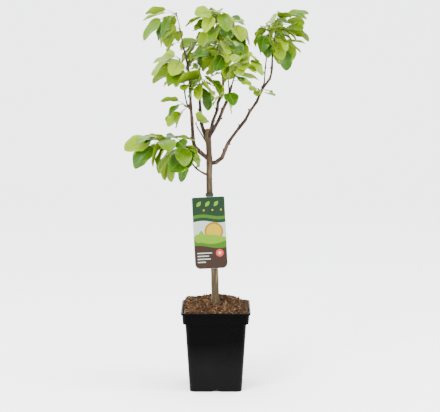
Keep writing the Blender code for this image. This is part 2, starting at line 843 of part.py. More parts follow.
def make_foliage(collection, limb_cutters):
    """One node for each spray: its stem and leaves, joined, and cut clear of the bough that carries it."""
    taken, stems = wood_trees()
    for spray in SPRAYS:
        way = stems[spray["name"]]
        leaves = grow_spray(spray, way, taken)
        mass = finish(spray["name"], tube(spray["name"], way, 0), collection, "foliage")
        blades = bpy.data.collections.new(f"{spray['name']}_leaves")
        bpy.context.scene.collection.children.link(blades)
        for number, leaf in enumerate(leaves):
            bm = bmesh.new()
            loft(bm, [leaf_ring(leaf, step) for step in BLADE_RINGS], split=True)
            blade = bpy.data.objects.new(f"leaf_{number}", to_mesh("leaf", bm))
            blades.objects.link(blade)
        boolean(mass, blades, "UNION", "MANIFOLD")
        for blade in list(blades.objects):
            bpy.data.objects.remove(blade)
        bpy.data.collections.remove(blades)
        boolean(mass, limb_cutters[spray["on"]], "DIFFERENCE", "MANIFOLD")


# Label


def outline(name, loops, depth):
    """A flat outline, with further loops as holes, made solid to a depth."""
    line = bpy.data.curves.new(name, "CURVE")
    line.dimensions = "2D"
    line.fill_mode = "BOTH"
    line.extrude = depth / 2 * MM
    for loop in loops:
        spline = line.splines.new("POLY")
        spline.points.add(len(loop) - 1)
        for knot, (x, y) in zip(spline.points, loop):
            knot.co = (x * MM, y * MM, 0, 1)
        spline.use_cyclic_u = True
    holder = bpy.data.objects.new(name, line)
    bpy.context.scene.collection.objects.link(holder)
    evaluated = holder.evaluated_get(bpy.context.evaluated_depsgraph_get())
    mesh_data = bpy.data.meshes.new_from_object(evaluated)
    bpy.data.objects.remove(holder)
    bpy.data.curves.remove(line)
    bm = bmesh.new()
    bm.from_mesh(mesh_data)
    bmesh.ops.remove_doubles(bm, verts=bm.verts, dist=0.00001)
    bmesh.ops.recalc_face_normals(bm, faces=bm.faces)
    bm.to_mesh(mesh_data)
    bm.free()
    return mesh_data


def card_outline():
    """The card's outline, seen from the front: top edge just under the fold, larger corners below."""
    top, bottom = -LABEL_BELOW_AXIS, -LABEL_BELOW_AXIS - LABEL_LENGTH
    points = []
    for corner in range(4):
        first = 90 * corner
        side_x = 1 if corner in (0, 3) else -1
        radius = LABEL_CORNERS[0] if corner < 2 else LABEL_CORNERS[1]
        centre_x = LABEL_OFFSET + side_x * (LABEL_WIDTH / 2 - radius)
        centre_y = top - radius if corner < 2 else bottom + radius
        for step in range(7):
            angle = math.radians(first + 15 * step)
            points.append((centre_x + radius * math.cos(angle), centre_y + radius * math.sin(angle)))
    return points


def strap_loop(inset):
    """The strap's way round the stem, seen from above: straight across the front and round behind."""
    half = STRAP_HALF - inset
    front = -STRAP_THICK / 2 + inset
    back = STRAP_BACK - inset
    middle = back - half
    points = [(-half, front), (half, front)]
    for step in range(13):
        angle = math.radians(15 * step)
        points.append((half * math.cos(angle), middle + half * math.sin(angle)))
    return points


def make_label(collection):
    """The strap and the card, under one empty whose X axis is the card's fold."""
    fold = bpy.data.objects.new("label_fold", None)
    fold.location = Vector(LABEL_AXIS) * MM
    fold.rotation_euler = (0, -LABEL_LEAN, 0)
    collection.objects.link(fold)
    strap = outline("label_strap", [strap_loop(0), strap_loop(STRAP_THICK)], STRAP_WIDTH)
    height = STRAP_ABOVE_AXIS + STRAP_WIDTH / 2
    finish("label_strap", strap, collection, "label_strap", parent=fold, location=(0, 0, height))
    card = outline("label_card", [card_outline()], LABEL_THICK)
    finish("label_card", card, collection, "label_card", parent=fold, spin=(math.pi / 2, 0, 0))


def main():
    for thing in list(bpy.data.objects):
        bpy.data.objects.remove(thing, do_unlink=True)
    tree = bpy.data.collections.new("potted_pear_tree")
    cutters = bpy.data.collections.new("cutters")
    bpy.context.scene.collection.children.link(tree)
    bpy.context.scene.collection.children.link(cutters)
    make_pot(tree, cutters)
    make_substrate(tree)
    _, trunk_cutter = make_trunk(tree, cutters)
    limb_cutters = make_boughs(tree, cutters, trunk_cutter)
    make_foliage(tree, limb_cutters)
    make_label(tree)


if __name__ == "__main__":
    main()
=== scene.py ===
"""The looks of a young pear tree in a square nursery pot, over its CAD frame.

Limbs and leaves are grown again by the frame's own rule, so that each leaf here lies where its solid lies.
Sizes are in millimetres, and MM turns them into Blender's metres.
"""

import functools
import math
import random

import bmesh
import bpy
from bpy.props import FloatProperty, FloatVectorProperty, IntProperty, PointerProperty
from bpy.types import Operator, Panel, PropertyGroup
from mathutils import Matrix, Vector, noise
from mathutils.bvhtree import BVHTree


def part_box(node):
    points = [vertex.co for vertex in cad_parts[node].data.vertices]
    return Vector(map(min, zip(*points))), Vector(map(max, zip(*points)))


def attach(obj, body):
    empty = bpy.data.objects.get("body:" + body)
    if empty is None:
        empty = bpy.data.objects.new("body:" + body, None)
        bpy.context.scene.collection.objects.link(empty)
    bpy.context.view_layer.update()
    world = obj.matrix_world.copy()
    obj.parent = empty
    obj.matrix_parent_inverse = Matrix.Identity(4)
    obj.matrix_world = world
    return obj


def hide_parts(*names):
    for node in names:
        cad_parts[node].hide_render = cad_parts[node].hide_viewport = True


bl_info = {
    "name": "Potted Pear Tree",
    "version": (1, 0, 0),
    "blender": (4, 5, 0),
    "location": "View3D > Sidebar > Pear Tree",
    "description": "Bark, leaves, mulch, pot and label for a young potted pear tree",
    "category": "Add Mesh",
}

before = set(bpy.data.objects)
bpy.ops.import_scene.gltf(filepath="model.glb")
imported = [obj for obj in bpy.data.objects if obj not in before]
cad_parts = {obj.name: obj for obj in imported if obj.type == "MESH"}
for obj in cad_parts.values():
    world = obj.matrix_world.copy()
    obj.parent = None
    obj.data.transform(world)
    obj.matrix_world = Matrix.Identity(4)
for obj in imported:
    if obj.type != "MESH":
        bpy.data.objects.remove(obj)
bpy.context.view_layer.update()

MM = 0.001
GAP = 0.3
GROUND = 209.0

# Wood: every limb runs through its knees, and thins evenly from its first girth to its last
TRUNK = {
    "name": "trunk", "girth": (9.6, 6.5),
    "knees": [
        (-1, 0, GROUND - 6), (-3, 0, 287), (-9, 0, 379), (-15, 0, 476), (-16, 0, 528), (-15.5, 0, 564),
        (-17.5, 0, 606), (-19, 0.5, 641),
    ],
    "swellings": [(GROUND, 2.0, 9.0), (491, 0.8, 5.0), (560, 1.1, 10.0), (616, 0.9, 12.0)],
}
BOUGHS = [
    {
        "name": "bough_low_left", "on": "trunk", "girth": (2.6, 1.7),
        "knees": [(-16, 0, 526), (-28, -6, 532), (-48, -20, 547), (-66, -34, 573)],
    },
    {
        "name": "bough_left", "on": "trunk", "girth": (4.9, 2.3),
        "knees": [
            (-16, 0, 566), (-36, -8, 583), (-50, -14, 597), (-55, -18, 620), (-57, -26, 662),
            (-60, -34, 700), (-61, -42, 738), (-64, -51, 776), (-70, -57, 816), (-77, -62, 841),
        ],
    },
    {
        "name": "bough_left_inner", "on": "bough_left", "girth": (1.9, 1.5),
        "knees": [(-59, -31.3, 687), (-68, -25, 699), (-75, -14, 731), (-77, -4, 762)],
    },
    {
        "name": "bough_short", "on": "trunk", "girth": (1.9, 1.5),
        "knees": [(-17, 0, 594), (-28, -12, 618), (-43, -26, 644)],
    },
    {
        "name": "bough_rear", "on": "trunk", "girth": (4.4, 2.9),
        "knees": [(-18, 0, 608), (-29, 14, 632), (-35, 25, 650), (-38, 42, 681), (-41, 62, 736)],
    },
    {
        "name": "bough_centre", "on": "trunk", "girth": (3.9, 2.7),
        "knees": [
            (-17.5, 0.2, 613), (-11, 12, 640), (-7, 18, 658), (4, 27, 686), (5, 31, 701), (13, 37, 718),
            (19, 49, 753), (30, 60, 792),
        ],
    },
    {
        "name": "bough_front", "on": "trunk", "girth": (4.6, 3.0),
        "knees": [
            (-18, 0, 618), (-6, -13, 640), (9, -28, 668), (17, -38, 691), (27, -50, 713), (38, -64, 750),
        ],
    },
    {
        "name": "bough_right", "on": "trunk", "girth": (4.4, 2.3),
        "knees": [
            (-15.5, 0, 556), (0, -2, 559), (15, -2, 570), (22, -2, 587), (29, 0, 605), (59, 8, 645),
            (72, 12, 661), (83, 16, 682), (99, 20, 704), (114, 26, 737), (131, 32, 759), (137, 37, 784),
            (138, 42, 821),
        ],
    },
    {
        "name": "bough_right_inner", "on": "bough_right", "girth": (1.8, 1.4),
        "knees": [(112, 25.3, 733), (118, 23, 751), (120, 19, 786), (126, 13, 833)],
    },
]
LIMB_STEP = 15.0
KNOT = 0.16  # how far a knee stands out, as a share of the limb's girth

# Foliage: each spray is one leafy shoot on its bough. "tints" says how many of its leaves out of ten wear
# each tint. The leaves stand in rosettes, spaced evenly from the share "first" of the stem up to its tip.
# They go from "rise" at the stalk's root to "droop" below the level at the blade's tip, and keep to the
# spray's space: one or two rounded blocks, each given by its middle and half sizes.
TINTS = ("deep", "full", "fresh", "pale", "yellow")
SPRAYS = [
    {
        "name": "foliage_low_left", "on": "bough_low_left", "tints": (6, 3, 1, 0, 0),
        "stem": [(-66, -34, 573), (-83, -44, 594), (-100, -50, 605), (-119, -54, 610), (-130, -56, 613)],
        "space": [(-139, -50, 582, 104, 80, 78)], "first": 0.2, "leaves": (4, 5, 6),
        "leaf": 70, "broad": 0.74, "stalk": 30, "rise": (-15, 65), "droop": (15, 95), "seed": 118,
    },
    {
        "name": "foliage_left_top", "on": "bough_left", "tints": (1, 4, 4, 1, 0),
        "stem": [(-77, -62, 841), (-82, -66, 874), (-87, -70, 899), (-92, -72, 918)],
        "space": [(-150, -72, 901, 30, 60, 53), (-105, -66, 872, 34, 60, 44)],
        "first": 0.1, "leaves": (4, 6),
        "leaf": 66, "broad": 0.66, "stalk": 38, "rise": (-15, 45), "droop": (20, 100), "seed": 66,
    },
    {
        "name": "foliage_left_mid", "on": "bough_left_inner", "tints": (1, 3, 4, 2, 0),
        "stem": [(-77, -4, 762), (-81, 4, 788), (-86, 8, 807)],
        "space": [(-119, 0, 794, 52, 64, 60)], "first": 0.3, "leaves": (5, 6),
        "leaf": 66, "broad": 0.68, "stalk": 26, "rise": (-10, 50), "droop": (20, 90), "seed": 30006,
    },
    {
        "name": "foliage_left_low", "on": "bough_left", "tints": (3, 4, 3, 0, 0),
        "stem": [(-59.2, -32, 692), (-66, -35, 696), (-72, -37, 698)],
        "space": [(-100, -36, 690, 40, 54, 60)], "first": 0.9, "leaves": (5,),
        "leaf": 60, "broad": 0.66, "stalk": 24, "rise": (-30, 50), "droop": (10, 80), "seed": 30094,
    },
    {
        "name": "foliage_left_front", "on": "bough_left", "tints": (3, 2, 2, 1, 2),
        "stem": [(-61.2, -43, 742), (-42, -52, 752), (-22, -56, 757)],
        "space": [(-44, -66, 772, 52, 70, 62), (-16, -70, 725, 36, 60, 52)], "first": 0.7, "leaves": (4, 6),
        "leaf": 70, "broad": 0.68, "stalk": 16, "rise": (-20, 70), "droop": (10, 90), "seed": 10020,
    },
    {
        "name": "foliage_left_high", "on": "bough_left", "tints": (2, 4, 3, 1, 0),
        "stem": [(-66.6, -53.2, 792), (-58, -53, 806), (-50, -51, 817)],
        "space": [(-44, -50, 852, 42, 56, 56)], "first": 0.7, "leaves": (4, 5),
        "leaf": 58, "broad": 0.68, "stalk": 20, "rise": (-10, 75), "droop": (10, 95), "seed": 30044,
    },
    {
        "name": "foliage_short", "on": "bough_short", "tints": (2, 4, 4, 0, 0),
        "stem": [(-43, -26, 644), (-47, -31, 655)],
        "space": [(-34, -40, 690, 32, 50, 48)], "first": 0.9, "leaves": (4,),
        "leaf": 50, "broad": 0.72, "stalk": 16, "rise": (10, 80), "droop": (0, 90), "seed": 20043,
    },
    {
        "name": "foliage_rear", "on": "bough_rear", "tints": (4, 4, 2, 0, 0),
        "stem": [(-41, 62, 736), (-39, 76, 779), (-36, 88, 815), (-32, 94, 842)],
        "space": [(-44, 96, 830, 50, 66, 64)], "first": 0.35, "leaves": (5, 6, 6),
        "leaf": 66, "broad": 0.68, "stalk": 26, "rise": (0, 60), "droop": (10, 90), "seed": 20031,
    },
    {
        "name": "foliage_centre", "on": "bough_centre", "tints": (3, 4, 2, 1, 0),
        "stem": [(30, 60, 792), (34, 70, 840), (32, 78, 885)],
        "space": [(35, 86, 852, 50, 66, 66)], "first": 0.3, "leaves": (5, 6, 6),
        "leaf": 64, "broad": 0.68, "stalk": 26, "rise": (0, 85), "droop": (0, 100), "seed": 30029,
    },
    {
        "name": "foliage_crest", "on": "bough_centre", "tints": (2, 4, 3, 1, 0),
        "stem": [(17, 45, 742), (15, 41, 775), (8, 34, 840), (-1, 28, 915)],
        "space": [(-15, 26, 885, 66, 60, 62)], "first": 0.5, "leaves": (5, 5, 5),
        "leaf": 60, "broad": 0.68, "stalk": 26, "rise": (0, 80), "droop": (10, 95), "seed": 123,
    },
    {
        "name": "foliage_front", "on": "bough_front", "tints": (1, 3, 4, 2, 0),
        "stem": [(38, -64, 750), (45, -74, 773), (54, -80, 790), (66, -86, 812)],
        "space": [(65, -85, 822, 54, 72, 76)], "first": 0.3, "leaves": (5, 6, 6),
        "leaf": 64, "broad": 0.68, "stalk": 26, "rise": (-5, 60), "droop": (20, 95), "seed": 20071,
    },
    {
        "name": "foliage_front_high", "on": "bough_front", "tints": (2, 3, 4, 1, 0),
        "stem": [(32, -56, 729), (30, -61, 762), (22, -60, 805), (17, -56, 850)],
        "space": [(14, -62, 822, 54, 66, 70)], "first": 0.5, "leaves": (5, 6, 6),
        "leaf": 64, "broad": 0.68, "stalk": 24, "rise": (0, 60), "droop": (20, 95), "seed": 20001,
    },
    {
        "name": "foliage_front_low", "on": "bough_front", "tints": (1, 3, 4, 2, 0),
        "stem": [(29, -52, 718), (27, -62, 724), (25, -68, 727)],
        "space": [(27, -76, 727, 38, 46, 46)], "first": 0.9, "leaves": (4,),
        "leaf": 56, "broad": 0.68, "stalk": 16, "rise": (-10, 60), "droop": (20, 90), "seed": 10041,
    },
    {
        "name": "foliage_right_top", "on": "bough_right", "tints": (2, 4, 3, 1, 0),
        "stem": [(138, 42, 821), (141, 46, 844), (144, 52, 866), (151, 54, 888)],
        "space": [(184, 55, 850, 56, 74, 100)], "first": 0.3, "leaves": (6, 6, 7),
        "leaf": 64, "broad": 0.68, "stalk": 34, "rise": (5, 85), "droop": (0, 100), "seed": 30002,
    },
    {
        "name": "foliage_right_inner", "on": "bough_right_inner", "tints": (1, 4, 4, 1, 0),
        "stem": [(126, 13, 833), (127, 10, 855), (128, 8, 886)],
        "space": [(136, 0, 872, 44, 66, 74)], "first": 0.4, "leaves": (5, 6),
        "leaf": 60, "broad": 0.68, "stalk": 24, "rise": (5, 85), "droop": (0, 100), "seed": 30017,
    },
    {
        "name": "foliage_right_low", "on": "bough_right", "tints": (1, 3, 5, 1, 0),
        "stem": [(109, 23.8, 728), (106, 18, 733), (104, 13, 736)],
        "space": [(115, 8, 731, 38, 40, 30)], "first": 0.9, "leaves": (4,),
        "leaf": 34, "broad": 0.8, "stalk": 18, "rise": (-30, 40), "droop": (10, 90), "seed": 12,
    },
]
STEM_GIRTHS = (1.7, 1.1)
ROSETTE_DEPTH = 7.0  # how far a rosette's stalks are spread along the stem
STEM_ENDS = (2.0, 1.2)  # no stalk is rooted nearer than this to the stem's foot and tip
ROSETTE_TURN = (40, 90)
GOLDEN_ANGLE = 137.5
AZIMUTH_SPREAD = 25
STALK_GIRTHS = (0.95, 0.75)
STALK_STEPS = 4
STALK_BEND = 0.65  # the share of a leaf's fall that its stalk takes up
STALK_SPREAD = (0.7, 1.15)
BLADE_STEPS = 12
BLADE_END = 0.97  # where along its midrib a blade stops growing narrower
BLADE_LEAST = 0.75
SIZE_SPREAD = (0.74, 1.08)
WIDTH_SPREAD = (0.92, 1.06)
LEAF_FOLD = (0.12, 0.38)
TURN_SPREAD = 38
ROLL_SPREAD = 50
ROOM = 1.1  # half the width of the air kept round a leaf
TRIES = 100

# The steps of a leaf's spine that its room and the test of its space are taken at
ROOM_RINGS = (0, 1, 2, 4, 6, 8, 10, 12, 14, 16)
SPACE_STEPS = (6, 10, 13, 16)

# After the source's own leaves, each larger spray fills the room that is left with finer ones. Every round
# has its share of the leaf's size, and how many leaves it tries at each of its rosettes
FINE_ROUNDS = ((0.9, 4), (0.62, 3))
FINE_TRIES = 18
FINE_FIRST = 0.7  # how much lower down its stem a spray's finer leaves start


def smooth(share):
    share = min(max(share, 0.0), 1.0)
    return share * share * (3 - 2 * share)


def loft(bm, rings):
    """Skin a row of rings with equally many points, and close both ends."""
    rows = [[bm.verts.new(point) for point in ring] for ring in rings]
    for low, high in zip(rows, rows[1:]):
        for i in range(len(low)):
            j = (i + 1) % len(low)
            bm.faces.new((low[i], low[j], high[j], high[i]))
    bm.faces.new(rows[0][::-1])
    bm.faces.new(rows[-1])


# The source's rule for limbs and leaves


def course(knees, girths, swellings=(), knot=0.0):
    """A smooth way through the knees, as points with the girth at each."""
    knees = [Vector(knee) for knee in knees]
    ends = [2 * knees[0] - knees[1], *knees, 2 * knees[-1] - knees[-2]]
    lengths = [(b - a).length for a, b in zip(knees, knees[1:])]
    points = []
    done = 0.0
    for i, length in enumerate(lengths):
        before, start, end, after = ends[i : i + 4]
        steps = max(1, round(length / LIMB_STEP))
        for step in range(steps):
            t = step / steps
            bend = (end - before) * t + (2 * before - 5 * start + 4 * end - after) * t**2
            bend += (3 * start - before - 3 * end + after) * t**3
            stands_out = knot if step == 0 and i > 0 else 0.0
            points.append((start + bend / 2, (done + length * t) / sum(lengths), stands_out))
        done += length
    points.append((knees[-1], 1.0, 0.0))
    way = []
    for point, share, stands_out in points:
        girth = girths[0] + (girths[1] - girths[0]) * share
        girth *= 1 + stands_out
        for height, rise, width in swellings:
            girth += rise * math.exp(-(((point.z - height) / width) ** 2))
        way.append((point, girth))
    return way


def limb_course(limb):
    knot = KNOT if limb is not TRUNK else 0.0
    return course(limb["knees"], limb["girth"], limb.get("swellings", ()), knot)


def blade_width(share):
    """How wide an egg-shaped blade is along its midrib, as a share of its greatest width."""
    return math.sin(math.pi * share**0.85) ** 0.62


def leaf_spine(root, length, stalk, azimuth, rise, droop, turn, roll):
    """The midrib from the stalk's root to the blade's tip: each point, and its side and face directions."""
    spine = []
    point = Vector(root)
    total = STALK_STEPS + BLADE_STEPS
    for step in range(total + 1):
        on_stalk = min(step / STALK_STEPS, 1.0)
        on_blade = max(step - STALK_STEPS, 0) / BLADE_STEPS
        fall = STALK_BEND * smooth(on_stalk) + (1 - STALK_BEND) * on_blade
        tilt = math.radians(rise - (rise + droop) * fall)
        compass = math.radians(azimuth + turn * (0.5 * on_stalk + 0.5 * on_blade))
        across = Vector((math.cos(compass), math.sin(compass), 0))
        ahead = across * math.cos(tilt) + Vector((0, 0, math.sin(tilt)))
        level = Vector((-math.sin(compass), math.cos(compass), 0))
        twist = Matrix.Rotation(math.radians(roll * on_stalk), 3, ahead)
        side = twist @ level
        spine.append((point.copy(), side, ahead.cross(side)))
        if step < total:
            point = point + ahead * (stalk / STALK_STEPS if step < STALK_STEPS else length / BLADE_STEPS)
    return spine


def air_ring(leaf, step):
    """One six-sided section through a leaf and the air round it."""
    point, side, face = leaf["spine"][step]
    if step <= STALK_STEPS:
        share = step / STALK_STEPS
        half = STALK_GIRTHS[0] + (STALK_GIRTHS[1] - STALK_GIRTHS[0]) * share
        lift = 0.0
    else:
        share = (step - STALK_STEPS) / BLADE_STEPS
        half = max(leaf["wide"] / 2 * blade_width(min(share, BLADE_END)), BLADE_LEAST)
        lift = leaf["fold"] * half
    edge = side * (half + ROOM)
    raised = face * lift
    off = face * ROOM
    section = (point - edge + raised, point, point + edge + raised)
    return [place - off for place in section] + [place + off for place in reversed(section)]


def room_of(leaf, first):
    """The air round a leaf from one of its rings to the tip, which no other leaf or limb may enter."""
    bm = bmesh.new()
    loft(bm, [air_ring(leaf, step) for step in ROOM_RINGS if step >= first])
    tree = BVHTree.FromBMesh(bm)
    bm.free()
    return tree


def finds_room(leaf, spray, taken):
    """Keep the leaf's room if nothing is in it. By its own stem only the outer stalk and blade count."""
    whole = room_of(leaf, 0)
    outer = room_of(leaf, STALK_STEPS // 2)
    for owner, other_whole, other_outer in taken:
        if owner in (spray["name"], spray["on"]):
            if outer.overlap(other_outer):
                return False
        elif whole.overlap(other_whole):
            return False
    taken.append((spray["name"], whole, outer))
    return True


def rosette_roots(spray, way):
    """Where each leaf of a spray is rooted on its stem, rosette by rosette, with its number there."""
    points = [point for point, _ in way]
    lengths = [0.0]
    for a, b in zip(points, points[1:]):
        lengths.append(lengths[-1] + (b - a).length)
    count = len(spray["leaves"])
    for i, leaves in enumerate(spray["leaves"]):
        share = 1.0 if count == 1 else spray["first"] + (1 - spray["first"]) * i / (count - 1)
        for number in range(leaves):
            at = share * lengths[-1] - STEM_ENDS[1] - ROSETTE_DEPTH * number / leaves
            at = min(max(at, STEM_ENDS[0]), lengths[-1] - STEM_ENDS[1])
            k = max(j for j in range(len(points) - 1) if lengths[j] <= at)
            part = (at - lengths[k]) / (lengths[k + 1] - lengths[k])
            yield points[k].lerp(points[k + 1], part), number


def keeps_to(leaf, space):
    """Whether a leaf's blade lies in one of the rounded blocks of its spray's space."""
    for x, y, z, *sizes in space:
        middle = Vector((x, y, z))
        for step in SPACE_STEPS:
            point, side, _ = leaf["spine"][step]
            share = (step - STALK_STEPS) / BLADE_STEPS
            edge = side * (leaf["wide"] / 2 * blade_width(min(share, BLADE_END)))
            offsets = (point - edge - middle, point + edge - middle)
            if any(sum(abs(a / b) ** 3 for a, b in zip(offset, sizes)) > 1 for offset in offsets):
                break
        else:
            return True
    return False


def grow_spray(spray, way, taken, tries=TRIES):
    """The leaves of one spray. Each is tried in several ways, and is left out where it never finds room."""
    rng = random.Random(spray["seed"])
    start = rng.uniform(0, 360)
    leaves = []
    for root, number in rosette_roots(spray, way):
        if number == 0:
            start += rng.uniform(*ROSETTE_TURN)
        for attempt in range(tries):
            swing = rng.uniform(-AZIMUTH_SPREAD, AZIMUTH_SPREAD) * (1 + attempt / 4)
            azimuth = start + GOLDEN_ANGLE * number + swing
            length = spray["leaf"] * rng.uniform(*SIZE_SPREAD)
            stalk = spray["stalk"] * rng.uniform(*STALK_SPREAD)
            rise = rng.uniform(*spray["rise"])
            droop = rng.uniform(*spray["droop"])
            turn = rng.uniform(-TURN_SPREAD, TURN_SPREAD)
            roll = rng.uniform(-ROLL_SPREAD, ROLL_SPREAD)
            leaf = {
                "spine": leaf_spine(root, length, stalk, azimuth, rise, droop, turn, roll),
                "wide": length * spray["broad"] * rng.uniform(*WIDTH_SPREAD),
                "fold": rng.uniform(*LEAF_FOLD),
            }
            if keeps_to(leaf, spray["space"]) and finds_room(leaf, spray, taken):
                leaves.append(leaf)
                break
    return leaves


def limb_tree(way):
    """A limb as a round bar with the gap all round, which leaves keep clear of, in millimetres."""
    points = [point for point, _ in way]
    points[0] = points[0] + (points[0] - points[1]).normalized() * GAP
    points[-1] = points[-1] + (points[-1] - points[-2]).normalized() * GAP
    line = bpy.data.curves.new("limb", "CURVE")
    line.dimensions = "3D"
    line.bevel_depth = MM
    line.bevel_resolution = 1
    line.use_fill_caps = True
    spline = line.splines.new("POLY")
    spline.points.add(len(points) - 1)
    for knot, point, (_, girth) in zip(spline.points, points, way):
        knot.co = (*(point * MM), 1)
        knot.radius = girth + GAP
    holder = bpy.data.objects.new("limb", line)
    bpy.context.scene.collection.objects.link(holder)
    evaluated = holder.evaluated_get(bpy.context.evaluated_depsgraph_get())
    mesh_data = bpy.data.meshes.new_from_object(evaluated)
    bpy.data.objects.remove(holder)
    bpy.data.curves.remove(line)
    bm = bmesh.new()
    bm.from_mesh(mesh_data)
    bpy.data.meshes.remove(mesh_data)
    bmesh.ops.remove_doubles(bm, verts=bm.verts, dist=0.00001)
    bmesh.ops.recalc_face_normals(bm, faces=bm.faces)
    bmesh.ops.scale(bm, vec=(1 / MM, 1 / MM, 1 / MM), verts=bm.verts)
    tree = BVHTree.FromBMesh(bm)
    bm.free()
    return tree


@functools.cache
def grown_sprays():
    """Every spray with its stem's way and its leaves, in the order in which the source grows them."""
    limbs = {limb["name"]: limb_course(limb) for limb in [TRUNK, *BOUGHS]}
    stems = {spray["name"]: course(spray["stem"], STEM_GIRTHS) for spray in SPRAYS}
    taken = []
    for owner, way in [*limbs.items(), *stems.items()]:
        tree = limb_tree(way)
        taken.append((owner, tree, tree))
    grown = []
    for spray in SPRAYS:
        way = stems[spray["name"]]
        grown.append((spray, way, grow_spray(spray, way, taken)))
    for number, (size, leaves) in enumerate(FINE_ROUNDS):
        for spray, way, found in grown:
            if len(spray["leaves"]) == 1:
                continue
            finer = {**spray, "leaf": spray["leaf"] * size, "stalk": spray["stalk"] * size}
            finer["seed"] = spray["seed"] + 7 * (number + 1)
            finer["leaves"] = (leaves,) * (len(spray["leaves"]) + 1)
            finer["first"] = spray["first"] * FINE_FIRST
            found += grow_spray(finer, way, taken, FINE_TRIES)
    return grown


# Settings that a user would change


def colour(name, of, default):
    description = f"Colour of the {of}"
    return FloatVectorProperty(
        name=name, description=description, default=default, subtype="COLOR", size=3, min=0, max=1
    )


def length(name, description, default):
    return FloatProperty(
        name=name, description=description, default=default * MM, subtype="DISTANCE", unit="LENGTH"
    )


class PotSettings(PropertyGroup):
    plastic: colour("Plastic", "pot", (0.0006, 0.0006, 0.0007))
    # painted reflection: the paler colour of the pot's foot, which stands for the pale floor mirrored in its
    # walls
    painted_reflection: colour("Reflection", "pot's paler foot", (0.0036, 0.0036, 0.0038))
    lip_round: length("Edge rounding", "Radius of the edges of the lip, collar and foot", 1.4)
    gloss: FloatProperty(name="Roughness", description="Roughness of the plastic", default=0.3, min=0, max=1)
    shine: FloatProperty(name="Shine", description="Gloss level of the plastic", default=0.017, min=0, max=1)


class MulchSettings(PropertyGroup):
    chips: IntProperty(name="Chips", description="How many chips drop on the heap", default=4200, min=1)
    longest: length("Longest chip", "Length of the longest bark chip", 12.5)
    dark: colour("Dark chips", "damp chips", (0.013, 0.006, 0.003))
    red: colour("Red chips", "red-brown chips", (0.038, 0.017, 0.006))
    tan: colour("Tan chips", "dry chips", (0.1, 0.055, 0.022))


class BarkSettings(PropertyGroup):
    relief: length("Relief", "Height of the ridges in the bark", 0.35)
    stem: colour("Stem", "trunk", (0.033, 0.022, 0.011))
    stem_pale: colour("Stem, pale", "trunk's pale streaks", (0.085, 0.06, 0.031))
    limb: colour("Limbs", "boughs", (0.019, 0.0105, 0.006))
    limb_pale: colour("Limbs, pale", "boughs' pale streaks", (0.06, 0.036, 0.019))
    twig: colour("Twigs", "leafy shoots", (0.045, 0.032, 0.008))


class LeafSettings(PropertyGroup):
    deep: colour("Deep green", "darkest leaves", (0.02, 0.062, 0.0))
    full: colour("Full green", "grown leaves", (0.055, 0.115, 0.0))
    fresh: colour("Fresh green", "fresh leaves", (0.115, 0.19, 0.0))
    pale: colour("Pale green", "youngest leaves", (0.175, 0.26, 0.003))
    yellow: colour("Yellow", "yellowed leaves", (0.25, 0.24, 0.0))
    under: colour("Underside", "leaves' undersides", (0.095, 0.155, 0.001))
    stalk: colour("Stalks", "leaf stalks and midribs", (0.085, 0.12, 0.008))
    wave: length("Wave", "How far a leaf's margin waves", 2.3)
    relief: length("Vein relief", "Depth of the side veins", 0.4)


class LabelSettings(PropertyGroup):
    sky: colour("Ground", "card and its print's ground", (0.22, 0.27, 0.24))
    green: colour("Dark green", "label's head", (0.003, 0.016, 0.005))
    meadow: colour("Middle green", "label's far hills", (0.024, 0.07, 0.002))
    leaf: colour("Light green", "label's leaves", (0.075, 0.155, 0.002))
    sun: colour("Yellow", "label's sun", (0.24, 0.17, 0.002))
    orange: colour("Orange", "sun's rim", (0.17, 0.075, 0.002))
    earth: colour("Brown", "label's foot", (0.016, 0.007, 0.0035))
    coral: colour("Coral", "label's small disc", (0.3, 0.022, 0.016))
    strap: colour("Strap", "strap round the stem", (0.012, 0.016, 0.01))


class StageSettings(PropertyGroup):
    camera_x: length("Camera X", "Where the camera stands sideways", 10.3)
    camera_y: length("Camera Y", "Where the camera stands in depth", -3500)
    camera_z: length("Camera Z", "How high the camera stands", 972.3)
    pitch: FloatProperty(name="Pitch", description="The camera's tilt down", default=0.1478, subtype="ANGLE")
    lens: FloatProperty(name="Lens", description="Focal length in millimetres", default=118.3, min=1)
    floor: colour("Floor", "floor and backdrop", (0.86, 0.87, 0.875))
    sky: FloatProperty(name="Sky", description="Strength of the light from all round", default=4.2, min=0)
    key: FloatProperty(name="Key light", description="Power of the main light in watts", default=210, min=0)


# Making pieces


def to_mesh(name, bm, sharp=40, outward=True):
    """Turn a mesh drawn in millimetres into one in metres, facing outward, smooth but for its sharp edges."""
    if outward:
        bmesh.ops.recalc_face_normals(bm, faces=bm.faces)
    bmesh.ops.scale(bm, vec=(MM, MM, MM), verts=bm.verts)
    mesh_data = bpy.data.meshes.new(name)
    bm.to_mesh(mesh_data)
    bm.free()
    mesh_data.shade_smooth()
    mesh_data.set_sharp_from_angle(angle=math.radians(sharp))
    return mesh_data


def piece(name, body, slot, mesh_data, *materials, nodes=()):
    """Put a finished mesh in the scene on its body, in place of the CAD nodes that it stands for."""
    for material in materials:
        mesh_data.materials.append(material)
    thing = bpy.data.objects.new(name, mesh_data)
    bpy.context.scene.collection.objects.link(thing)
    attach(thing, body)
    if nodes:
        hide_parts(*nodes)


def dress(node, material):
    """Give a CAD node that is shown a finished material."""
    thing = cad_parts[node]
    thing.data.materials.clear()
    thing.data.materials.append(material)


# Materials


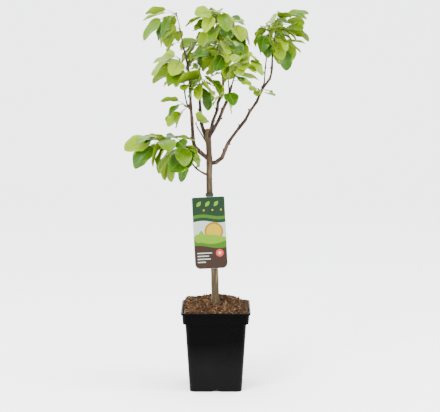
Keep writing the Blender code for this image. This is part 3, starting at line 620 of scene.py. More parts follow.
class Finish:
    """A material under construction: its shader, and the few nodes that the finishes here share."""

    def __init__(self, name, colour, roughness, specular):
        self.material = bpy.data.materials.new(name)
        self.material.use_nodes = True
        self.tree = self.material.node_tree
        self.shader = self.tree.nodes["Principled BSDF"]
        self.fill(self.shader, Base_Color=(*colour, 1), Roughness=roughness, Specular_IOR_Level=specular)

    def fill(self, node, **inputs):
        """Fill a node's inputs: each with a plain value, or linked to another node's output."""
        for name, value in inputs.items():
            socket = node.inputs[name.replace("_", " ")]
            if isinstance(value, bpy.types.NodeSocket):
                self.tree.links.new(value, socket)
            else:
                socket.default_value = value
        return node

    def add(self, kind, output, **inputs):
        """Add a node with its inputs filled, and return one of its outputs."""
        return self.fill(self.tree.nodes.new("ShaderNode" + kind), **inputs).outputs[output]

    def noise(self, size, stretch=(1, 1, 1), detail=4.0):
        """Noise with features of about this size in millimetres, in the object's own space."""
        place = self.add("Mapping", "Vector", Vector=self.add("TexCoord", "Object"), Scale=stretch)
        return self.add("TexNoise", "Fac", Vector=place, Scale=1 / (size * MM), Detail=detail)

    def height(self, low, high, size, cloudiness):
        """From 0 at one height in millimetres to 1 at another, in the object's own space, made cloudy."""
        level = self.add("SeparateXYZ", "Z", Vector=self.add("TexCoord", "Object"))
        share = self.add("MapRange", "Result", Value=level, From_Min=low * MM, From_Max=high * MM)
        cloud = self.tree.nodes.new("ShaderNodeMath")
        cloud.operation = "MULTIPLY_ADD"
        self.tree.links.new(self.noise(size), cloud.inputs[0])
        cloud.inputs[1].default_value = cloudiness
        self.tree.links.new(share, cloud.inputs[2])
        return cloud.outputs["Value"]

    def blend(self, source, stops):
        """Colours by a noise: each stop is a place from 0 to 1 and a colour."""
        band = self.fill(self.tree.nodes.new("ShaderNodeValToRGB"), Fac=source)
        while len(band.color_ramp.elements) < len(stops):
            band.color_ramp.elements.new(0.5)
        for element, (place, shade) in zip(band.color_ramp.elements, stops):
            element.position = place
            element.color = (*shade, 1)
        self.fill(self.shader, Base_Color=band.outputs["Color"])

    def rough(self, source, low, high):
        """Spread the middle of a noise over this range of roughness."""
        spread = {"From_Min": 0.3, "From_Max": 0.7, "To_Min": low, "To_Max": high}
        self.fill(self.shader, Roughness=self.add("MapRange", "Result", Value=source, **spread))

    def bump(self, source, height, strength=1.0):
        """Raise the surface by a noise, up to this height in millimetres."""
        raised = self.add("Bump", "Normal", Height=source, Distance=height * MM, Strength=strength)
        self.fill(self.shader, Normal=raised)


def lighter(shade, factor):
    return tuple(min(part * factor, 1.0) for part in shade)


def pot_plastic(settings):
    """Recycled black plastic: satin, with a faint grain and handling marks, painted paler towards its foot as
    a painted reflection of the pale floor.
    """
    finish = Finish("pot_plastic", settings.plastic, settings.gloss, settings.shine)
    # painted reflection: the walls are painted paler low down and full black up by the collar, for the pale
    # floor that they mirror
    finish.blend(finish.height(0, 200, 70, 0.2), [(0.4, settings.painted_reflection), (0.72, settings.plastic)])
    finish.rough(finish.noise(22, (1, 1, 0.5)), settings.gloss - 0.06, settings.gloss + 0.12)
    finish.bump(finish.noise(1.1), 0.05, 0.5)
    return finish.material


def chip_bark(name, shade):
    """One tint of bark chip, with fibres and darker patches."""
    finish = Finish(name, shade, 0.9, 0.12)
    finish.blend(finish.noise(5), [(0.3, lighter(shade, 0.55)), (0.5, shade), (0.72, lighter(shade, 1.5))])
    finish.bump(finish.noise(1.2), 0.7)
    return finish.material


def bark(name, shade, pale, streak):
    """Young bark: streaks along the limb, pale specks, and a fine grain."""
    finish = Finish(name, shade, 0.72, 0.12)
    along = finish.noise(streak, (1, 1, 0.16), 6)
    finish.blend(along, [(0.33, lighter(shade, 0.6)), (0.5, shade), (0.68, pale)])
    finish.rough(finish.noise(6), 0.58, 0.85)
    finish.bump(finish.noise(1.0, (1, 1, 0.35)), 0.25, 0.8)
    return finish.material


def leaf_green(name, shade, roughness=0.36, coat=0.02):
    """A waxy leaf in one plain green, with a fine pebbled grain, that lets some light through."""
    finish = Finish(name, shade, roughness, 0.13)
    thin = {"Subsurface_Weight": 0.3, "Subsurface_Radius": (0.8, 1.0, 0.2), "Subsurface_Scale": 0.6 * MM}
    finish.fill(finish.shader, Coat_Weight=coat, Coat_Roughness=0.25, **thin)
    finish.rough(finish.noise(9), roughness - 0.06, roughness + 0.12)
    finish.bump(finish.noise(1.4), 0.12, 0.6)
    return finish.material


def printed(name, shade):
    """Ink on coated card: smooth, with a faint mottling in its gloss."""
    finish = Finish(name, shade, 0.3, 0.12)
    finish.rough(finish.noise(8), 0.24, 0.38)
    finish.bump(finish.noise(0.8), 0.02, 0.4)
    return finish.material


# Pot and mulch

FOOT_WIDTH = 128.0
SHOULDER_WIDTH = 149.0
COLLAR_FOOT_WIDTH = 160.5
COLLAR_TOP_WIDTH = 164.0
COLLAR_HEIGHT = 29.0
LIP_HEIGHT = 5.5
POT_WALL = 1.8
POT_BASE = 7.0
POT_CORNER = 13.0
CORNER_STEPS = 10
CHANNEL_RADIUS = 16.9
CHANNEL_HEIGHT = 5.0
CHANNEL_LENGTH = 48.0
DRAIN_RADIUS = 5.0
DRAIN_AT = 50.0
CUTTER_SIDES = 48


def pot_top():
    """Half the width of the pot's lip, and the pot's height, in millimetres."""
    _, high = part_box("pot")
    high = high / MM
    return high.x, high.z


def rounded_square(half, height):
    """The outline of a square with round corners at one height."""
    centre = half - POT_CORNER
    points = []
    for quarter in range(4):
        turn = Matrix.Rotation(math.radians(90 * quarter), 3, "Z")
        for step in range(CORNER_STEPS + 1):
            angle = math.radians(90 * step / CORNER_STEPS)
            x = centre + POT_CORNER * math.cos(angle)
            y = centre + POT_CORNER * math.sin(angle)
            points.append(turn @ Vector((x, y, height)))
    return points


def softened(profile, radius):
    """An open profile with each inner corner turned into a short arc."""
    points = [profile[0]]
    for before, corner, after in zip(profile, profile[1:], profile[2:]):
        before, corner, after = Vector(before), Vector(corner), Vector(after)
        reach = min(radius, (before - corner).length / 2.2, (after - corner).length / 2.2)
        start = corner + (before - corner).normalized() * reach
        end = corner + (after - corner).normalized() * reach
        points += [start, start.lerp(end, 0.5).lerp(corner, 0.42), end]
    return [*points, profile[-1]]


def cut_away(thing, cutter):
    """Cut one object with another for good, and remove the cutter."""
    change = thing.modifiers.new("cut", "BOOLEAN")
    change.solver = "EXACT"
    change.object = cutter
    evaluated = thing.evaluated_get(bpy.context.evaluated_depsgraph_get())
    result = bpy.data.meshes.new_from_object(evaluated)
    thing.modifiers.clear()
    thing.data = result
    bpy.data.objects.remove(cutter)


def pot_shell(round_off):
    """The pot with its edges rounded: tapered walls, collar, lip, foot channels and drain holes."""
    lip, height = pot_top()
    shoulder, under_lip = height - COLLAR_HEIGHT, height - LIP_HEIGHT
    section = [
        (FOOT_WIDTH / 4, 0),
        (FOOT_WIDTH / 2, 0),
        (SHOULDER_WIDTH / 2, shoulder),
        (COLLAR_FOOT_WIDTH / 2, shoulder),
        (COLLAR_TOP_WIDTH / 2, under_lip),
        (lip, under_lip),
        (lip, height),
        (COLLAR_TOP_WIDTH / 2 - POT_WALL, height),
        (COLLAR_FOOT_WIDTH / 2 - POT_WALL, shoulder + POT_WALL),
        (SHOULDER_WIDTH / 2 - POT_WALL, shoulder + POT_WALL),
        (FOOT_WIDTH / 2 - POT_WALL, POT_BASE),
        (FOOT_WIDTH / 4, POT_BASE),
    ]
    bm = bmesh.new()
    loft(bm, [rounded_square(half, z) for half, z in softened(section, round_off)])
    holder = bpy.data.objects.new("pot_walls", to_mesh("pot_walls", bm))
    bpy.context.scene.collection.objects.link(holder)
    drop = Vector((0, 0, CHANNEL_HEIGHT - CHANNEL_RADIUS))
    for side in range(4):
        angle = math.radians(90 * side)
        out = Vector((math.cos(angle), math.sin(angle), 0))
        for radius, depth, spin, place in (
            (CHANNEL_RADIUS, CHANNEL_LENGTH, (0, math.pi / 2, angle), out * FOOT_WIDTH / 2 + drop),
            (DRAIN_RADIUS, 4 * POT_BASE, (0, 0, 0), out * DRAIN_AT),
        ):
            bpy.ops.mesh.primitive_cylinder_add(
                vertices=CUTTER_SIDES,
                radius=radius * MM,
                depth=depth * MM,
                rotation=spin,
                location=place * MM,
            )
            cut_away(holder, bpy.context.object)
    mesh_data = holder.data
    bpy.data.objects.remove(holder)
    mesh_data.shade_smooth()
    mesh_data.set_sharp_from_angle(angle=math.radians(40))
    return mesh_data


class PEAR_OT_pot(Operator):
    """Make the pot's shell with rounded edges, in satin black plastic"""

    bl_idname = "pear_tree.pot"
    bl_label = "Pot"

    def execute(self, context):
        settings = context.scene.pear_pot
        shell = pot_shell(settings.lip_round / MM)
        piece("pot_shell", "plant", "pot", shell, pot_plastic(settings), nodes=["pot"])
        return {"FINISHED"}


SLACK = 6.0  # mulch lower than this under the lip is in shade and stays bare
STEM_CLEAR = 9.0  # how far from the stem's middle chips are dropped
CHIP_GROWTH = 1.6  # most chips are small: a higher power makes more of them small
CHIP_SHARES = (3, 5, 2)
CHIP_SWELLS = (0.55, 1.0, 0.9, 0.5)
CHIP_SIDES = 5


def chip(rng, length, width, thick):
    """One bark chip: a bent splinter with ragged sides and ends."""
    rings = []
    bend = rng.uniform(-0.15, 0.15) * length
    for step, swell in enumerate(CHIP_SWELLS):
        x = length * (step / 3 - 0.5) * rng.uniform(0.9, 1.1)
        rise = bend * (1 - (step / 1.5 - 1) ** 2)
        ring = []
        for corner in range(CHIP_SIDES):
            angle = 2 * math.pi * corner / CHIP_SIDES
            ragged = x + rng.uniform(-0.1, 0.1) * length
            y = math.cos(angle) * width / 2 * swell * rng.uniform(0.75, 1.2)
            z = math.sin(angle) * thick / 2 * swell * rng.uniform(0.7, 1.2) + rise
            ring.append(Vector((ragged, y, z)))
        rings.append(ring)
    return rings


class PEAR_OT_mulch(Operator):
    """Scatter bark chips over the heap in the pot"""

    bl_idname = "pear_tree.mulch"
    bl_label = "Mulch"

    def execute(self, context):
        settings = context.scene.pear_mulch
        tints = [chip_bark(f"chip_{tint}", getattr(settings, tint)) for tint in ("dark", "red", "tan")]
        dress("substrate", tints[0])
        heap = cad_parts["substrate"].data
        places = [vertex.co / MM for vertex in heap.vertices]
        surface = BVHTree.FromPolygons(places, [face.vertices for face in heap.polygons])
        _, brim = pot_top()
        reach = COLLAR_TOP_WIDTH / 2 - POT_WALL
        rng = random.Random(21)
        bm = bmesh.new()
        for _ in range(settings.chips):
            x, y = rng.uniform(-reach, reach), rng.uniform(-reach, reach)
            hit, normal, _, _ = surface.ray_cast(Vector((x, y, brim + 60)), Vector((0, 0, -1)))
            if hit is None or hit.z < brim - SLACK or math.hypot(x - TRUNK["knees"][0][0], y) < STEM_CLEAR:
                continue
            size = settings.longest / MM * rng.uniform(0.25, 1.0) ** CHIP_GROWTH
            rings = chip(rng, size, size * rng.uniform(0.14, 0.45), size * rng.uniform(0.08, 0.2) + 0.5)
            tilt = Matrix.Rotation(rng.gauss(0, 0.35), 3, "Y") @ Matrix.Rotation(rng.gauss(0, 0.5), 3, "X")
            turn = Matrix.Rotation(rng.uniform(0, 2 * math.pi), 3, "Z")
            lie = normal.to_track_quat("Z", "Y").to_matrix() @ turn
            shift = Vector((0, 0, rng.uniform(-0.6, 2.2)))
            # A chip that would reach past the wall is drawn in towards the middle
            outside = max(abs(hit.x), abs(hit.y)) + size / 2 - reach
            if outside > 0:
                hit = hit * (1 - outside / reach) + Vector((0, 0, hit.z * outside / reach - 2))
            first = len(bm.faces)
            loft(bm, [[hit + shift + lie @ (tilt @ point) for point in ring] for ring in rings])
            bm.faces.ensure_lookup_table()
            tint = rng.choices((0, 1, 2), CHIP_SHARES)[0]
            for face in bm.faces[first:]:
                face.material_index = tint
        piece("mulch_chips", "plant", "mulch", to_mesh("mulch_chips", bm, 50), *tints)
        return {"FINISHED"}


# Wood

RING_STEP = 2.2
RIDGES = 2.6  # how closely the bark's ridges stand round a limb, and how long they run
RIDGE_LENGTH = 26
COLLAR_REACH = 7
SCAR_RISE = 0.1
SCAR_WIDTH = 1.3
TRUNK_SCARS = (118, 196, 262, 315, 352, 390)
TRUNK_SIDES = 40
BOUGH_SIDES = 20
TWIG_SIDES = 12
BURIED = 3.0  # how far the trunk's skin goes down into the mulch


def fine_way(way, step):
    """A limb's way with points a short step apart, and the length of the way up to each."""
    points = []
    done = 0.0
    for (a, girth_a), (b, girth_b) in zip(way, way[1:]):
        span = (b - a).length
        count = max(1, round(span / step))
        for i in range(count):
            part = i / count
            points.append((a.lerp(b, part), girth_a + (girth_b - girth_a) * part, done + span * part))
        done += span
    points.append((way[-1][0], way[-1][1], done))
    return points


def bark_skin(bm, way, sides, relief, seed, collar=0.0, scars=()):
    """Skin a limb with ridged bark. A collar widens its foot, and scars are the rings left by old buds."""
    fine = fine_way(way, RING_STEP)
    total = fine[-1][2]
    rings = []
    up = Vector((0, 1, 0))
    for i, (point, girth, along) in enumerate(fine):
        ahead = (fine[min(i + 1, len(fine) - 1)][0] - fine[max(i - 1, 0)][0]).normalized()
        across = up.cross(ahead).normalized()
        up = ahead.cross(across)
        girth *= 1 + collar * math.exp(-along / COLLAR_REACH)
        for scar in scars:
            girth += SCAR_RISE * girth * math.exp(-(((along - scar) / SCAR_WIDTH) ** 2))
        ring = []
        for side in range(sides):
            angle = 2 * math.pi * side / sides
            out = across * math.cos(angle) + up * math.sin(angle)
            spot = Vector((math.cos(angle) * RIDGES, math.sin(angle) * RIDGES, along / RIDGE_LENGTH + seed))
            ridge = noise.fractal(spot, 0.9, 2.1, 3)
            ring.append(point + out * (girth + relief * ridge * min(1.0, (total - along) / 3 + 0.2)))
        rings.append(ring)
    loft(bm, rings)


class PEAR_OT_trunk(Operator):
    """Grow the trunk and the boughs with ridged bark"""

    bl_idname = "pear_tree.trunk"
    bl_label = "Trunk and boughs"

    def execute(self, context):
        settings = context.scene.pear_bark
        relief = settings.relief / MM
        bm = bmesh.new()
        bark_skin(bm, limb_course(TRUNK), TRUNK_SIDES, relief * 1.2, 0.0, scars=TRUNK_SCARS)
        cut = bm.verts[:] + bm.edges[:] + bm.faces[:]
        foot = (0, 0, GROUND - BURIED)
        bmesh.ops.bisect_plane(bm, geom=cut, plane_co=foot, plane_no=(0, 0, 1), clear_inner=True)
        skin = bark("trunk_bark", settings.stem, settings.stem_pale, 9)
        piece("trunk_skin", "plant", "bark", to_mesh("trunk_skin", bm), skin, nodes=["trunk"])
        bm = bmesh.new()
        for number, limb in enumerate(BOUGHS):
            rng = random.Random(number)
            scars = [rng.uniform(0.15, 1) * 40 + 45 * k for k in range(6)]
            bark_skin(bm, limb_course(limb), BOUGH_SIDES, relief, 3.7 * number, 0.35, scars)
        skin = bark("bough_bark", settings.limb, settings.limb_pale, 7)
        names = [limb["name"] for limb in BOUGHS]
        piece("bough_skin", "plant", "twig_bark", to_mesh("bough_skin", bm), skin, nodes=names)
        return {"FINISHED"}


# Leaves

BLADE_LENGTHS = 24
BLADE_COLUMNS = 8
BLADE_THICK = 0.28
VEIN_PAIRS = 8
TEETH = 0.011
WAVE_TURN = 6.3  # one whole wave, in radians
STALK_SIDES = 7
MIDRIB_STEPS = 22
MIDRIB_END = 0.94
BUD_STEPS = 8
BUD_SIDES = 8
TIP_BUD = 6.5


def on_spine(leaf, step):
    """A place on a leaf's midrib between two of its steps, with its side and face directions."""
    low = min(int(step), len(leaf["spine"]) - 2)
    part = step - low
    return [a.lerp(b, part) for a, b in zip(leaf["spine"][low], leaf["spine"][low + 1])]


def blade(bm, leaf, rng, wave, relief, tints):
    """One leaf blade, upper and under side: folded, waved, toothed and veined. Its tints are two slots."""
    phase, waves = rng.uniform(0, WAVE_TURN), rng.uniform(1.2, 2.2)
    tops, unders = [], []
    for row in range(BLADE_LENGTHS + 1):
        share = row / BLADE_LENGTHS
        point, side, face = on_spine(leaf, STALK_STEPS + BLADE_STEPS * share)
        half = leaf["wide"] / 2 * blade_width(share)
        if 0 < row < BLADE_LENGTHS:
            half *= 1 + TEETH * (1 if row % 2 else -1)
        top, under = [], []
        for column in range(BLADE_COLUMNS + 1):
            across = 2 * column / BLADE_COLUMNS - 1
            out = abs(across)
            vein = abs((share * VEIN_PAIRS - out * 0.9) % 1 - 0.5) * 2
            lift = leaf["fold"] * half * out**1.25
            swing = math.sin(WAVE_TURN * waves * share + phase + across)
            lift += wave * out**2 * math.sin(math.pi * share) * swing
            lift -= relief * vein**3 * (1 - out**4) * min(1, half / 6)
            body = BLADE_THICK / 2 * (1 - out**6)
            place = point + side * (across * half) + face * lift
            upper = bm.verts.new(place + face * body)
            top.append(upper)
            under.append(upper if out == 1 else bm.verts.new(place - face * body))
        tops.append(top)
        unders.append(under)
    for rows, slot, flip in ((tops, tints[0], False), (unders, tints[1], True)):
        for low, high in zip(rows, rows[1:]):
            for i in range(BLADE_COLUMNS):
                corners = (low[i], low[i + 1], high[i + 1], high[i])
                made = bm.faces.new(corners[::-1] if flip else corners)
                made.material_index = slot


def round_bar(bm, stations, sides):
    """A thin bar through stations of point, side, face, half width and half height."""
    rings = []
    for point, side, face, wide, high in stations:
        ring = []
        for corner in range(sides):
            angle = 2 * math.pi * corner / sides
            ring.append(point + side * (wide * math.cos(angle)) + face * (high * math.sin(angle)))
        rings.append(ring)
    loft(bm, rings)


def stalk(bm, leaf):
    """A leaf's stalk, which runs on under the blade as its midrib."""
    stations = []
    for step in range(4 * STALK_STEPS + 1):
        girth = 0.72 + 0.35 * math.exp(-step / 1.6)
        stations.append((*on_spine(leaf, step / 4), girth, girth))
    for step in range(1, MIDRIB_STEPS + 1):
        share = MIDRIB_END * step / MIDRIB_STEPS
        wide = 0.7 * (1 - share) ** 0.7 + 0.12
        stations.append((*on_spine(leaf, STALK_STEPS + BLADE_STEPS * share), wide, wide * 0.8))
    round_bar(bm, stations, STALK_SIDES)


def bud(bm, root, ahead, size):
    """A pointed bud of overlapping scales."""
    side = ahead.orthogonal().normalized()
    face = ahead.cross(side)
    stations = []
    for step in range(BUD_STEPS + 1):
        share = step / BUD_STEPS
        girth = size * 0.3 * math.sin(math.pi * (0.12 + 0.88 * share) ** 0.8) ** 0.9
        girth = max(girth * (1 + 0.1 * (step % 2)), 0.08)
        stations.append((root + ahead * (size * (share - 0.12)), side, face, girth, girth))
    round_bar(bm, stations, BUD_SIDES)


def bud_places(limb, rng):
    """Where buds sit along a bough: at its knees, to either side by turns, leaning towards its tip."""
    way = limb_course(limb)
    for number, knee in enumerate(limb["knees"][2:-1]):
        near = min(range(len(way) - 1), key=lambda i: (way[i][0] - Vector(knee)).length)
        point, girth = way[near]
        ahead = (way[near + 1][0] - point).normalized()
        spin = Matrix.Rotation(math.pi * number + rng.uniform(-0.7, 0.7), 3, ahead)
        out = spin @ ahead.orthogonal().normalized()
        yield point + out * (girth * 0.9), (out * 0.7 + ahead * 0.8).normalized(), girth


class PEAR_OT_twigs(Operator):
    """Grow the shoots of each spray, with the buds at their tips and at the leaves' roots"""

    bl_idname = "pear_tree.twigs"
    bl_label = "Twigs and buds"

    def execute(self, context):
        settings = context.scene.pear_bark
        rng = random.Random(8)
        twigs, buds = bmesh.new(), bmesh.new()
        for limb in BOUGHS:
            for place, ahead, girth in bud_places(limb, rng):
                bud(buds, place, ahead, min(TIP_BUD, 3.2 + girth))
        scars = [8 + 11 * k for k in range(18)]
        for number, (_, way, leaves) in enumerate(grown_sprays()):
            bark_skin(twigs, way, TWIG_SIDES, 0.16, 2.3 * number, 0.15, scars)
            ahead = (way[-1][0] - way[-2][0]).normalized()
            bud(buds, way[-1][0], ahead, TIP_BUD)
            for leaf in leaves:
                start = leaf["spine"][0][0]
                out = (leaf["spine"][2][0] - start).normalized()
                lean = (out * 0.8 + ahead * 0.9).normalized()
                bud(buds, start + lean * 1.2 - out * 0.2, lean, rng.uniform(3.0, 4.4))
        skin = bark("twig_bark", settings.twig, lighter(settings.twig, 1.7), 5)
        piece("twigs", "plant", "twig_bark", to_mesh("twigs", twigs), skin)
        scales = bark("bud_scales", settings.limb, settings.limb_pale, 3)
        piece("buds", "plant", "twig_bark", to_mesh("buds", buds), scales)
        return {"FINISHED"}


class PEAR_OT_leaves(Operator):
    """Grow every leaf: its blade in the tint of its spray, and its stalk and midrib"""

    bl_idname = "pear_tree.leaves"
    bl_label = "Leaves"

    def execute(self, context):
        settings = context.scene.pear_leaf
        rng = random.Random(4)
        blades, stalks = bmesh.new(), bmesh.new()
        for spray, _, leaves in grown_sprays():
            for leaf in leaves:
                tint = rng.choices(range(len(TINTS)), spray["tints"])[0]
                blade(blades, leaf, rng, settings.wave / MM, settings.relief / MM, (tint, len(TINTS)))
                stalk(stalks, leaf)
        greens = [leaf_green(f"leaf_{tint}", getattr(settings, tint)) for tint in TINTS]
        greens.append(leaf_green("leaf_under", settings.under, 0.6, 0.0))
        names = [spray["name"] for spray in SPRAYS]
        skin = to_mesh("leaf_blades", blades, 60, outward=False)
        piece("leaf_blades", "plant", "leaves", skin, *greens, nodes=names)
        stalk_green = leaf_green("leaf_stalk", settings.stalk, 0.5, 0.0)
        piece("leaf_stalks", "plant", "leaves", to_mesh("leaf_stalks", stalks), stalk_green)
        return {"FINISHED"}


# Label

LABEL_AXIS = (-15.3, -11.4, 476.0)
LABEL_LEAN = math.radians(2.8)
LABEL_OFFSET = -3.7
LABEL_WIDTH = 80.0
LABEL_TOP = -0.4
LABEL_LENGTH = 178.0
LABEL_THICK = 0.9
LABEL_CORNERS = (4.0, 13.0)
PRINT_MARGIN = 0.4
PRINT_HEAD = -20.0  # above this the print's outline is its head, and below the next its foot
PRINT_FOOT = -150.0
INK = 0.012  # how far each printed layer stands above the last
INKS = ("sky", "green", "meadow", "leaf", "sun", "orange", "earth", "coral")


def card_place():
    """From the card's own plane, with x to the right, y up and z to the front, to the model's space."""
    place = Matrix.Translation(Vector(LABEL_AXIS)) @ Matrix.Rotation(-LABEL_LEAN, 4, "Y")
    return place @ Matrix.Rotation(math.pi / 2, 4, "X")


def arc(x, y, radius, start, end, steps):
    """Points on a round arc, in degrees."""
    angles = [math.radians(start + (end - start) * step / steps) for step in range(steps + 1)]
    return [(x + radius * math.cos(a), y + radius * math.sin(a)) for a in angles]


def disc(x, y, radius, sides):
    """A whole round disc."""
    return arc(x, y, radius, 0, 360 - 360 / sides, sides - 1)


def card_shape():
    """The print's outline, from the card's right edge round by its head to the left edge and the foot."""
    points = []
    for corner in range(4):
        radius = LABEL_CORNERS[corner // 2] - PRINT_MARGIN
        side = 1 if corner in (0, 3) else -1
        x = LABEL_OFFSET + side * (LABEL_WIDTH / 2 - PRINT_MARGIN - radius)
        if corner < 2:
            y = LABEL_TOP - PRINT_MARGIN - radius
        else:
            y = LABEL_TOP - LABEL_LENGTH + PRINT_MARGIN + radius
        points += arc(x, y, radius, 90 * corner, 90 * corner + 90, 8)
    return points


def leaf_shape(x, y, size, turn):
    """A plain pointed leaf, out along one margin and back along the other."""
    turn = math.radians(turn)
    points = []
    for step in [*range(13), *range(-11, 0)]:
        share = abs(step) / 12
        along = size * share
        out = math.copysign(size, step) * 0.26 * math.sin(math.pi * share)
        right = along * math.cos(turn) - out * math.sin(turn)
        up = along * math.sin(turn) + out * math.cos(turn)
        points.append((x + right, y + up))
    return points


def wave(y, rise, swings, start=0.0):
    """A wavy line right across the card at one height, from its left edge to its right."""
    left = LABEL_OFFSET - LABEL_WIDTH / 2 + PRINT_MARGIN
    right = LABEL_OFFSET + LABEL_WIDTH / 2 - PRINT_MARGIN
    points = []
    for step in range(25):
        share = step / 24
        height = y + rise * math.sin(2 * math.pi * swings * share + start)
        points.append((left + (right - left) * share, height))
    return points


def bar(x, y, width, high):
    return [(x, y), (x, y - high), (x + width, y - high), (x + width, y)]


def head_and_foot():
    """The round corners at the head and at the foot of the print."""
    outline = card_shape()
    return [p for p in outline if p[1] > PRINT_HEAD], [p for p in outline if p[1] < PRINT_FOOT]


def label_design():
    """The printed shapes from the bottom layer up, as colour and outline: a sun over hills."""
    middle = LABEL_OFFSET
    head, foot = head_and_foot()
    shapes = [
        ("green", head + wave(-62, 3, 0.9)),
        ("meadow", head + wave(-54, 3, 0.9)),
        ("green", head + wave(-46, 3, 0.9)),
        ("orange", disc(middle + 10, -86, 23, 36)),
        ("sun", disc(middle + 10, -86, 18.5, 36)),
        ("leaf", wave(-99, 6, 0.5, 0.4)[::-1] + foot),
        ("meadow", wave(-110, 7, 0.6, 2.6)[::-1] + foot),
        ("earth", wave(-124, 4, 0.7, 1.2)[::-1] + foot),
        ("coral", disc(middle + 22, -140, 9.5, 36)),
        ("sky", disc(middle + 22, -140, 4, 24)),
    ]
    for number in range(-2, 3):
        shapes.append(("leaf", leaf_shape(middle - 21, -112, 30 - 5 * abs(number), 90 + 32 * number)))
    for number in range(3):
        shapes.append(("leaf", leaf_shape(middle - 29 + 21 * number, -24, 17, 50)))
        shapes.append(("sun", disc(middle - 12 + 21 * number, -33, 2.2, 12)))
    for number, width in enumerate((36, 28, 32, 20)):
        shapes.append(("sky", bar(middle - 33, -138 - 7.5 * number, width, 2.6)))
    return shapes


def label_back():
    """The back's printed shapes: a green head and plain lines on a pale ground."""
    head, _ = head_and_foot()
    shapes = [("sun", head + wave(-35, 0, 1)), ("green", head + wave(-32, 0, 1))]
    for number in range(12):
        width = (58, 52, 60, 36)[number % 4]
        shapes.append(("earth", bar(LABEL_OFFSET - 30, -48 - 9 * number, width, 1.8)))
    return shapes


class PEAR_OT_label(Operator):
    """Print the hang label's two sides and dress its card and strap"""

    bl_idname = "pear_tree.label"
    bl_label = "Label"

    def execute(self, context):
        settings = context.scene.pear_label
        inks = [printed(f"ink_{ink}", getattr(settings, ink)) for ink in INKS]
        dress("label_card", printed("card_board", settings.sky))
        dress("label_strap", printed("strap_plastic", settings.strap))
        for name, side, shapes in (("label_front", 1, label_design()), ("label_back", -1, label_back())):
            bm = bmesh.new()
            for layer, (ink, outline) in enumerate([("sky", card_shape()), *shapes]):
                height = side * (LABEL_THICK / 2 + INK * (layer + 1))
                face = bm.faces.new([bm.verts.new((x, y, height)) for x, y in outline])
                face.material_index = INKS.index(ink)
                face.normal_update()
                if face.normal.z * side < 0:
                    face.normal_flip()
            bmesh.ops.transform(bm, matrix=card_place(), verts=bm.verts)
            piece(name, "label", "label_card", to_mesh(name, bm, outward=False), *inks)
        return {"FINISHED"}


# Stage, in metres

FLOOR_REACH = 9
SWEEP = 3  # how far behind the tree the floor starts to rise, and the radius of its bend
LIGHTS = {
    "key": {"share": 1.0, "size": 1.6, "place": (-1.6, -2.2, 2.6), "aim": (0, 0, 0.55)},
    "side": {"share": 0.5, "size": 1.2, "place": (2.4, -0.6, 1.6), "aim": (0, 0, 0.5)},
}


def area_light(name, power, size, place, aim):
    lamp = bpy.data.lights.new(name, "AREA")
    lamp.energy = power
    lamp.shape = "DISK"
    lamp.size = size
    holder = bpy.data.objects.new(name, lamp)
    holder.location = place
    holder.rotation_euler = (Vector(aim) - Vector(place)).to_track_quat("-Z", "Y").to_euler()
    bpy.context.scene.collection.objects.link(holder)


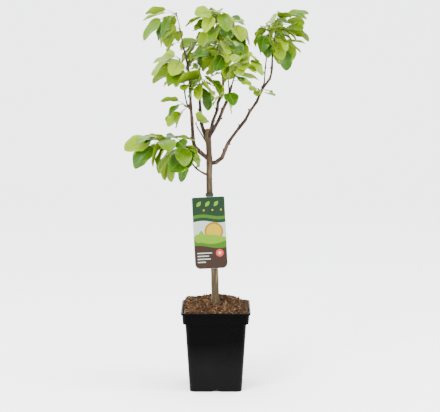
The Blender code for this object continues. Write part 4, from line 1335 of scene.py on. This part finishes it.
class PEAR_OT_stage(Operator):
    """Set the pale floor, the soft lights and the camera at the picture's angle"""

    bl_idname = "pear_tree.stage"
    bl_label = "Stage"

    def execute(self, context):
        settings = context.scene.pear_stage
        bm = bmesh.new()
        profile = [(-FLOOR_REACH, 0), (SWEEP, 0)]
        for step in range(1, 16):
            profile.append((SWEEP + SWEEP * math.sin(step / 10), SWEEP - SWEEP * math.cos(step / 10)))
        rows = [[bm.verts.new((x, y, z)) for x in (-FLOOR_REACH, FLOOR_REACH)] for y, z in profile]
        for low, high in zip(rows, rows[1:]):
            bm.faces.new((low[0], low[1], high[1], high[0]))
        mesh_data = bpy.data.meshes.new("floor")
        bm.to_mesh(mesh_data)
        bm.free()
        mesh_data.shade_smooth()
        mesh_data.materials.append(Finish("floor_paint", settings.floor, 0.9, 0.1).material)
        floor = bpy.data.objects.new("floor", mesh_data)
        context.scene.collection.objects.link(floor)
        world = bpy.data.worlds.new("studio")
        world.use_nodes = True
        sky = world.node_tree.nodes["Background"]
        sky.inputs["Color"].default_value = (1, 1, 1, 1)
        sky.inputs["Strength"].default_value = settings.sky
        context.scene.world = world
        for name, light in LIGHTS.items():
            area_light(name, settings.key * light["share"], light["size"], light["place"], light["aim"])
        lens = bpy.data.cameras.new("camera")
        lens.lens = settings.lens
        camera = bpy.data.objects.new("camera", lens)
        camera.location = (settings.camera_x, settings.camera_y, settings.camera_z)
        camera.rotation_euler = (math.pi / 2 - settings.pitch, 0, 0)
        context.scene.collection.objects.link(camera)
        bpy.context.scene.camera = camera
        return {"FINISHED"}


class PEAR_PT_panel(Panel):
    """The pear tree's operators and settings"""

    bl_label = "Pear Tree"
    bl_idname = "PEAR_PT_panel"
    bl_space_type = "VIEW_3D"
    bl_region_type = "UI"
    bl_category = "Pear Tree"

    def draw(self, context):
        for step, group in STEPS.items():
            box = self.layout.box()
            box.operator(step.bl_idname)
            settings = getattr(context.scene, group)
            for name in settings.bl_rna.properties.keys():
                if name not in ("rna_type", "name"):
                    box.prop(settings, name)


SETTINGS = {
    "pear_pot": PotSettings,
    "pear_mulch": MulchSettings,
    "pear_bark": BarkSettings,
    "pear_leaf": LeafSettings,
    "pear_label": LabelSettings,
    "pear_stage": StageSettings,
}
STEPS = {
    PEAR_OT_pot: "pear_pot",
    PEAR_OT_mulch: "pear_mulch",
    PEAR_OT_trunk: "pear_bark",
    PEAR_OT_twigs: "pear_bark",
    PEAR_OT_leaves: "pear_leaf",
    PEAR_OT_label: "pear_label",
    PEAR_OT_stage: "pear_stage",
}


def register():
    for group in (*SETTINGS.values(), *STEPS, PEAR_PT_panel):
        bpy.utils.register_class(group)
    for name, group in SETTINGS.items():
        setattr(bpy.types.Scene, name, PointerProperty(type=group))


def unregister():
    for name in SETTINGS:
        delattr(bpy.types.Scene, name)
    for group in (PEAR_PT_panel, *reversed(STEPS), *reversed(SETTINGS.values())):
        bpy.utils.unregister_class(group)


def main():
    register()
    for step in STEPS:
        package, name = step.bl_idname.split(".")
        getattr(getattr(bpy.ops, package), name)()


if __name__ == "__main__":
    main()
